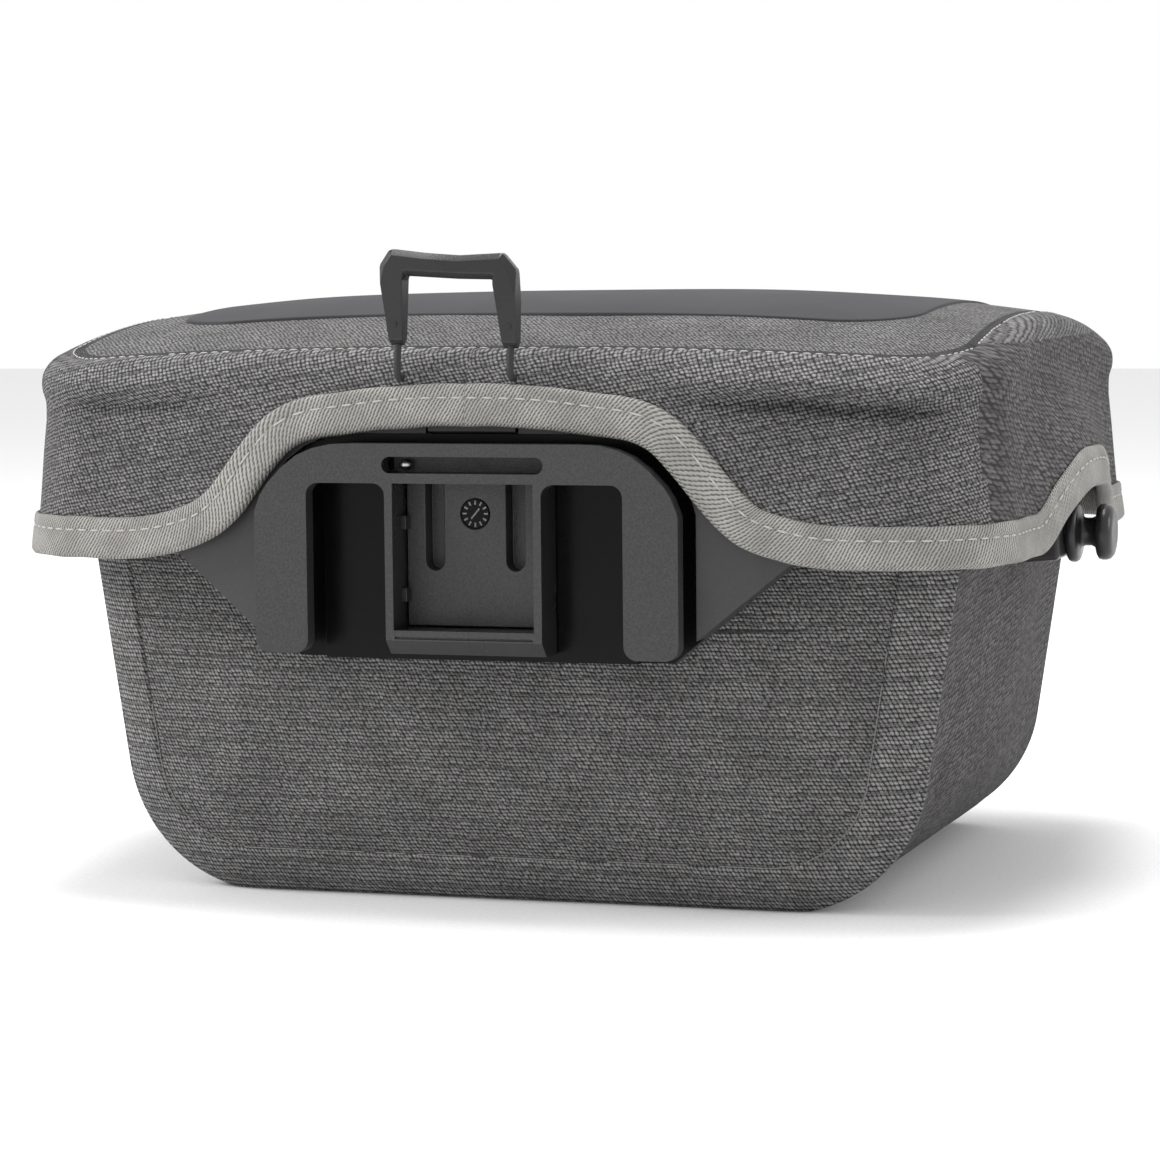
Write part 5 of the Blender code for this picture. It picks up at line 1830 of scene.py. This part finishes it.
@dataclass
class Pull:
    """The pull handle with its two cords."""

    plastic: bpy.types.Material
    deep: bpy.types.Material
    braid: bpy.types.Material
    foot: float = 138.9
    depth: float = 5.4
    chamfer: float = 1.5
    route: Sequence[tuple[float, float]] = (
        (11.0, 125.6),
        (11.0, 128.0),
        (10.4, 130.0),
        (9.0, 131.1),
        (7.0, 131.3),
        (3.4, 131.3),
        (2.2, 131.9),
        (1.8, 133.3),
        (2.1, 136.0),
        (2.75, 139.2),
    )

    def build(self) -> list[bpy.types.Object]:
        """Make the handle's pieces.

        Returns:
            The pieces.
        """
        return [self.make_loop(), self.make_pins(), *(self.make_cord(side) for side in Side)]

    def make_loop(self) -> bpy.types.Object:
        """Make the handle's loop, a chamfered bar on two tapering legs."""
        left = [(-18.15, 0.0), (-20.6, 18.6), (-20.4, 19.4), (-18.2, 22.6), (-17.2, 22.9)]
        top = [(-9.0, 21.9), (-0.6, 21.3), (10.2, 21.75)]
        right = [(10.9, 21.2), (13.7, 17.9), (13.9, 17.0), (13.75, -0.8)]
        outer = left + top + right
        inner = [(10.3, -0.8), (8.2, 14.4), (7.6, 15.5), (-0.7, 15.7)]
        inner += [(-13.6, 16.5), (-14.5, 15.6), (-14.85, 0.0)]
        outline = [(across, self.foot + height) for across, height in outer + inner]
        mesh = extruded(outline, 2.75 - self.depth / 2, 2.75 + self.depth / 2)
        middle = at(0.0, 2.75, 0.0).y
        for vert in mesh.verts:
            share = 1.0 - 0.34 * smooth(vert.co.z / MM, self.foot + 16.0, self.foot)
            vert.co.y = middle + (vert.co.y - middle) * share
        long_edges = [edge for edge in mesh.edges if abs(edge.verts[0].co.y - edge.verts[1].co.y) < 0.0004]
        bmesh.ops.bevel(
            mesh,
            geom=long_edges,
            offset=self.chamfer * MM,
            affect="EDGES",
            segments=1,
            profile=0.5,
            material=-1,
            clamp_overlap=True,
        )
        round_edges(mesh, 0.22, 2, 22.0)
        return weigh_normals(finish(mesh, "pull_loop", self.plastic, Slot.DARK, ("pull_handle",)))

    def make_pins(self) -> bpy.types.Object:
        """Make the two small cross pins that hold the cords in the handle's feet."""
        mesh = bmesh.new()
        for across, height in ((-16.7, 144.0), (11.9, 143.4)):
            place = Matrix.Translation(at(across, 0.75, height)) @ Matrix.Rotation(math.pi / 2, 4, "X")
            bmesh.ops.create_cone(
                mesh, cap_ends=True, segments=16, radius1=0.0007, radius2=0.0007, depth=0.0006, matrix=place
            )
        return finish(mesh, "foot_pins", self.deep, Slot.DARK, (), False)

    def make_cord(self, side: Side) -> bpy.types.Object:
        """Make one cord, from the release tab through the skirt up to the handle."""
        across = -16.5 if side is Side.LEFT else 11.9
        name = "cord_left" if side is Side.LEFT else "cord_right"
        node = "pull_cord_left" if side is Side.LEFT else "pull_cord_right"
        steps = len(self.route) - 1
        depths = [(index / steps, row[0]) for index, row in enumerate(self.route)]
        heights = [(index / steps, row[1]) for index, row in enumerate(self.route)]

        def centre(share: float) -> Vector:
            """Give the cord's centre line."""
            return Vector((across, curve(depths, share), curve(heights, share)))

        def place(first: float, second: float) -> Vector:
            """Place a point of the cord's surface."""
            along = (centre(min(1.0, second + 0.02)) - centre(max(0.0, second - 0.02))).normalized()
            side_way = Vector((1.0, 0.0, 0.0))
            other = along.cross(side_way)
            turn = math.tau * first
            braid = 1.0 + 0.07 * math.sin(3 * turn + second * 60.0) * math.sin(3 * turn - second * 60.0)
            spot = centre(second) + (side_way * math.cos(turn) - other * math.sin(turn)) * 0.85 * braid
            return at(*spot)

        mesh = sheet(20, 90, place, lambda first, second: Vector((first * 0.005, second * 0.018, 0.0)))
        bmesh.ops.holes_fill(mesh, edges=[edge for edge in mesh.edges if edge.is_boundary])
        bmesh.ops.recalc_face_normals(mesh, faces=mesh.faces)
        return finish(mesh, name, self.braid, Slot.CORD, (node,))


@dataclass
class Knob:
    """One side knob on its arm."""

    side: Side
    plastic: bpy.types.Material
    body: BodyForm
    depth: float = 112.5
    height: float = 88.1
    reach: float = 125.2

    def build(self) -> list[bpy.types.Object]:
        """Make the knob and its arm.

        Returns:
            The two pieces.
        """
        return [self.make_arm(), self.make_knob()]

    def make_arm(self) -> bpy.types.Object:
        """Make the arm that carries the knob."""
        sign = self.side.value
        inner = self.body.half_width(self.height) - 0.6
        low, high = sorted((sign * inner, sign * self.reach))
        mesh = box((low, self.depth - 13.0, self.height - 6.5), (high, self.depth + 13.0, self.height + 6.5))
        for vert in mesh.verts:
            outward = smooth(abs(vert.co.x) / MM, inner, self.reach)
            vert.co.z += (vert.co.z - self.height * MM) * 0.18 * (1.0 - outward)
        round_edges(mesh, 1.2, 4)
        name = "arm_left" if sign < 0 else "arm_right"
        node = "knob_arm_left" if sign < 0 else "knob_arm_right"
        return weigh_normals(finish(mesh, name, self.plastic, Slot.DARK, (node,)))

    def make_knob(self) -> bpy.types.Object:
        """Turn the knob: flange, waisted neck and domed head."""
        start = self.reach + 0.3
        profile = (
            # along the axis, radius
            (0.0, 0.0),
            (0.0, 6.9),
            (0.35, 7.5),
            (1.0, 7.85),
            (2.0, 7.85),
            (2.7, 7.4),
            (3.0, 6.5),
            (3.15, 4.9),
            (3.5, 4.0),
            (4.4, 3.6),
            (6.0, 3.6),
            (7.0, 4.1),
            (7.4, 5.2),
            (7.6, 6.3),
            (8.0, 6.95),
            (8.8, 7.2),
            (9.8, 7.2),
            (10.8, 6.85),
            (11.5, 6.0),
            (11.8, 4.8),
            (11.75, 3.2),
            (11.7, 0.0),
        )
        mesh = bmesh.new()
        points = [mesh.verts.new((along * MM, radius * MM, 0.0)) for along, radius in profile]
        edges = [mesh.edges.new(pair) for pair in zip(points, points[1:])]
        bmesh.ops.spin(
            mesh,
            geom=points + edges,
            cent=(0, 0, 0),
            axis=(1, 0, 0),
            dvec=(0, 0, 0),
            angle=math.tau,
            steps=48,
            use_merge=True,
        )
        bmesh.ops.remove_doubles(mesh, verts=mesh.verts, dist=0.000005)
        bmesh.ops.recalc_face_normals(mesh, faces=mesh.faces)
        turn = Matrix.Identity(4) if self.side is Side.RIGHT else Matrix.Rotation(math.pi, 4, "Z")
        centre = at(self.side.value * start, self.depth, self.height)
        bmesh.ops.transform(mesh, matrix=Matrix.Translation(centre) @ turn, verts=mesh.verts)
        name = "turned_knob_left" if self.side is Side.LEFT else "turned_knob_right"
        node = "knob_left" if self.side is Side.LEFT else "knob_right"
        return finish(mesh, name, self.plastic, Slot.DARK, (node,))


# Studio


@dataclass(frozen=True)
class Studio:
    """Camera, lights, floor and backdrop."""

    azimuth: float = 0.30543
    elevation: float = 0.08734
    roll: float = 0.00984
    distance: float = 883.785
    lens: float = 3748.7425 * 36.0 / 1160.0
    aim: tuple[float, float, float] = (29.29024, 0.0, 83.643)

    def build(self) -> None:
        """Set up the camera, the lights, the floor and the world."""
        self.make_camera()
        bpy.context.scene.view_settings.view_transform = "Standard"
        self.make_light("key", (-1.3, -0.55, 0.95), 0.6, 17.0)
        self.make_light("side", (1.3, 0.25, 0.5), 0.6, 4.0)
        self.make_light("top", (0.0, 0.05, 1.4), 0.7, 15.0)
        self.make_floor()
        self.make_world()

    def make_camera(self) -> None:
        """Place the camera where the photograph was taken from."""
        sin, cos = math.sin(self.azimuth), math.cos(self.azimuth)
        level = math.cos(self.elevation)
        ahead = Vector((-sin * level, cos * level, -math.sin(self.elevation)))
        right = Vector((cos, sin, 0.0))
        up = right.cross(ahead)
        tilt, keep = math.sin(self.roll), math.cos(self.roll)
        screen_right = right * keep - up * tilt
        screen_up = right * tilt + up * keep
        place = at(*self.aim) - ahead * self.distance * MM
        data = bpy.data.cameras.new("photo_camera")
        data.lens = self.lens
        data.sensor_width = 36.0
        data.sensor_fit = "HORIZONTAL"
        camera = bpy.data.objects.new("photo_camera", data)
        axes = Matrix((screen_right, screen_up, -ahead)).transposed().to_4x4()
        camera.matrix_world = Matrix.Translation(place) @ axes
        bpy.context.scene.collection.objects.link(camera)
        bpy.context.scene.camera = camera

    def make_light(self, name: str, place: tuple[float, float, float], size: float, power: float) -> None:
        """Add a soft area light that points at the bag.

        Args:
            name: The light's name.
            place: Where it stands, in metres.
            size: Its width in metres.
            power: Its power in watts.
        """
        data = bpy.data.lights.new(name, "AREA")
        data.shape = "DISK"
        data.size = size
        data.energy = power
        light = bpy.data.objects.new(name, data)
        light.location = place
        aim = Vector((0.0, 0.0, 0.08)) - Vector(place)
        light.rotation_euler = aim.to_track_quat("-Z", "Y").to_euler()
        bpy.context.scene.collection.objects.link(light)

    def make_floor(self) -> None:
        """Lay a plain pale floor under the bag."""
        mesh = bmesh.new()
        bmesh.ops.create_grid(mesh, x_segments=2, y_segments=2, size=4.0)
        data = bpy.data.meshes.new("floor")
        mesh.to_mesh(data)
        mesh.free()
        floor = bpy.data.objects.new("floor", data)
        data.materials.append(Plain("pale_floor", (0.90, 0.90, 0.90), 0.9).make())
        bpy.context.scene.collection.objects.link(floor)

    def make_world(self) -> None:
        """Surround the bag with even white light."""
        world = bpy.data.worlds.new("studio")
        world.use_nodes = True
        background = world.node_tree.nodes["Background"]
        background.inputs["Color"].default_value = (1.0, 1.0, 1.0, 1.0)
        background.inputs["Strength"].default_value = 1.0
        bpy.context.scene.world = world


def main() -> None:
    """Build the bag piece by piece."""
    logging.basicConfig(level=logging.INFO, format="%(name)s %(message)s")
    Studio().build()
    gap = (0.003, 0.003, 0.003)
    knit = Knit("grey_knit", (0.205, 0.200, 0.199), gap, streaks=0.8, uneven=0.26).make()
    band_knit = Knit("band_knit", (0.225, 0.220, 0.219), gap, height=0.0011, uneven=0.2).make()
    lid_gap = (0.004, 0.004, 0.004)
    lid_knit = Knit(
        "lid_knit", (0.205, 0.199, 0.200), lid_gap, height=0.0009, climb=-0.18, uneven=0.3
    ).make()
    rib = Knit(
        "gusset_rib",
        (0.098, 0.093, 0.095),
        (0.020, 0.019, 0.019),
        width=0.0030,
        height=0.0012,
        climb=0.10,
        depth=0.0002,
    ).make()
    tape = Twill("edge_twill", (0.36, 0.352, 0.33), (0.085, 0.081, 0.075)).make()
    thread = Plain("pale_thread", (0.42, 0.41, 0.39), 0.7).make()
    welt = Plain("welt_thread", (0.22, 0.216, 0.212), 0.7).make()
    film = Film("window_coating", (0.026, 0.025, 0.028)).make()
    frame_plastic = Plastic("satin_plastic", (0.021, 0.021, 0.022), 0.44).make()
    plate_plastic = Plastic("plate_plastic", (0.028, 0.028, 0.029), 0.45, speckle=0.1, grain=0.00003).make()
    # Darker plastic of the tab, catches, pull and knobs, also used as painted shade on the frame's inner
    # walls.
    dark_plastic_and_shade = Plastic(
        "dark_plastic_and_shade", (0.014, 0.014, 0.015), 0.30, speckle=0.1, shine=0.4, grain=0.00003
    ).make()
    # Near-black painted shade for the plate's recesses and the dial's sunken disc.
    recess_shade_black = Plastic(
        "recess_shade_black", (0.003, 0.003, 0.003), 0.22, grain=0.0, speckle=0.1, shine=0.12
    ).make()
    # Pale grey painted highlight for the dial's raised ticks.
    tick_highlight_grey = Plastic("tick_highlight_grey", (0.15, 0.15, 0.15), 0.5).make()
    braid = Plain("cord_braid", (0.016, 0.016, 0.016), 0.7).make()
    metal = Plain("pin_metal", (0.70, 0.69, 0.67), 0.3, 1.0).make()
    body_form = BodyForm()
    Body(body_form, knit, rib, band_knit, welt).build()
    Lid(LidForm(), lid_knit, rib, film, tape, thread).build()
    plastics = (frame_plastic, plate_plastic, dark_plastic_and_shade, recess_shade_black, tick_highlight_grey)
    Mount(*plastics, metal, body_form).build()
    Pull(dark_plastic_and_shade, dark_plastic_and_shade, braid).build()
    for side in Side:
        Knob(side, dark_plastic_and_shade, body_form).build()


if __name__ == "__main__":
    main()
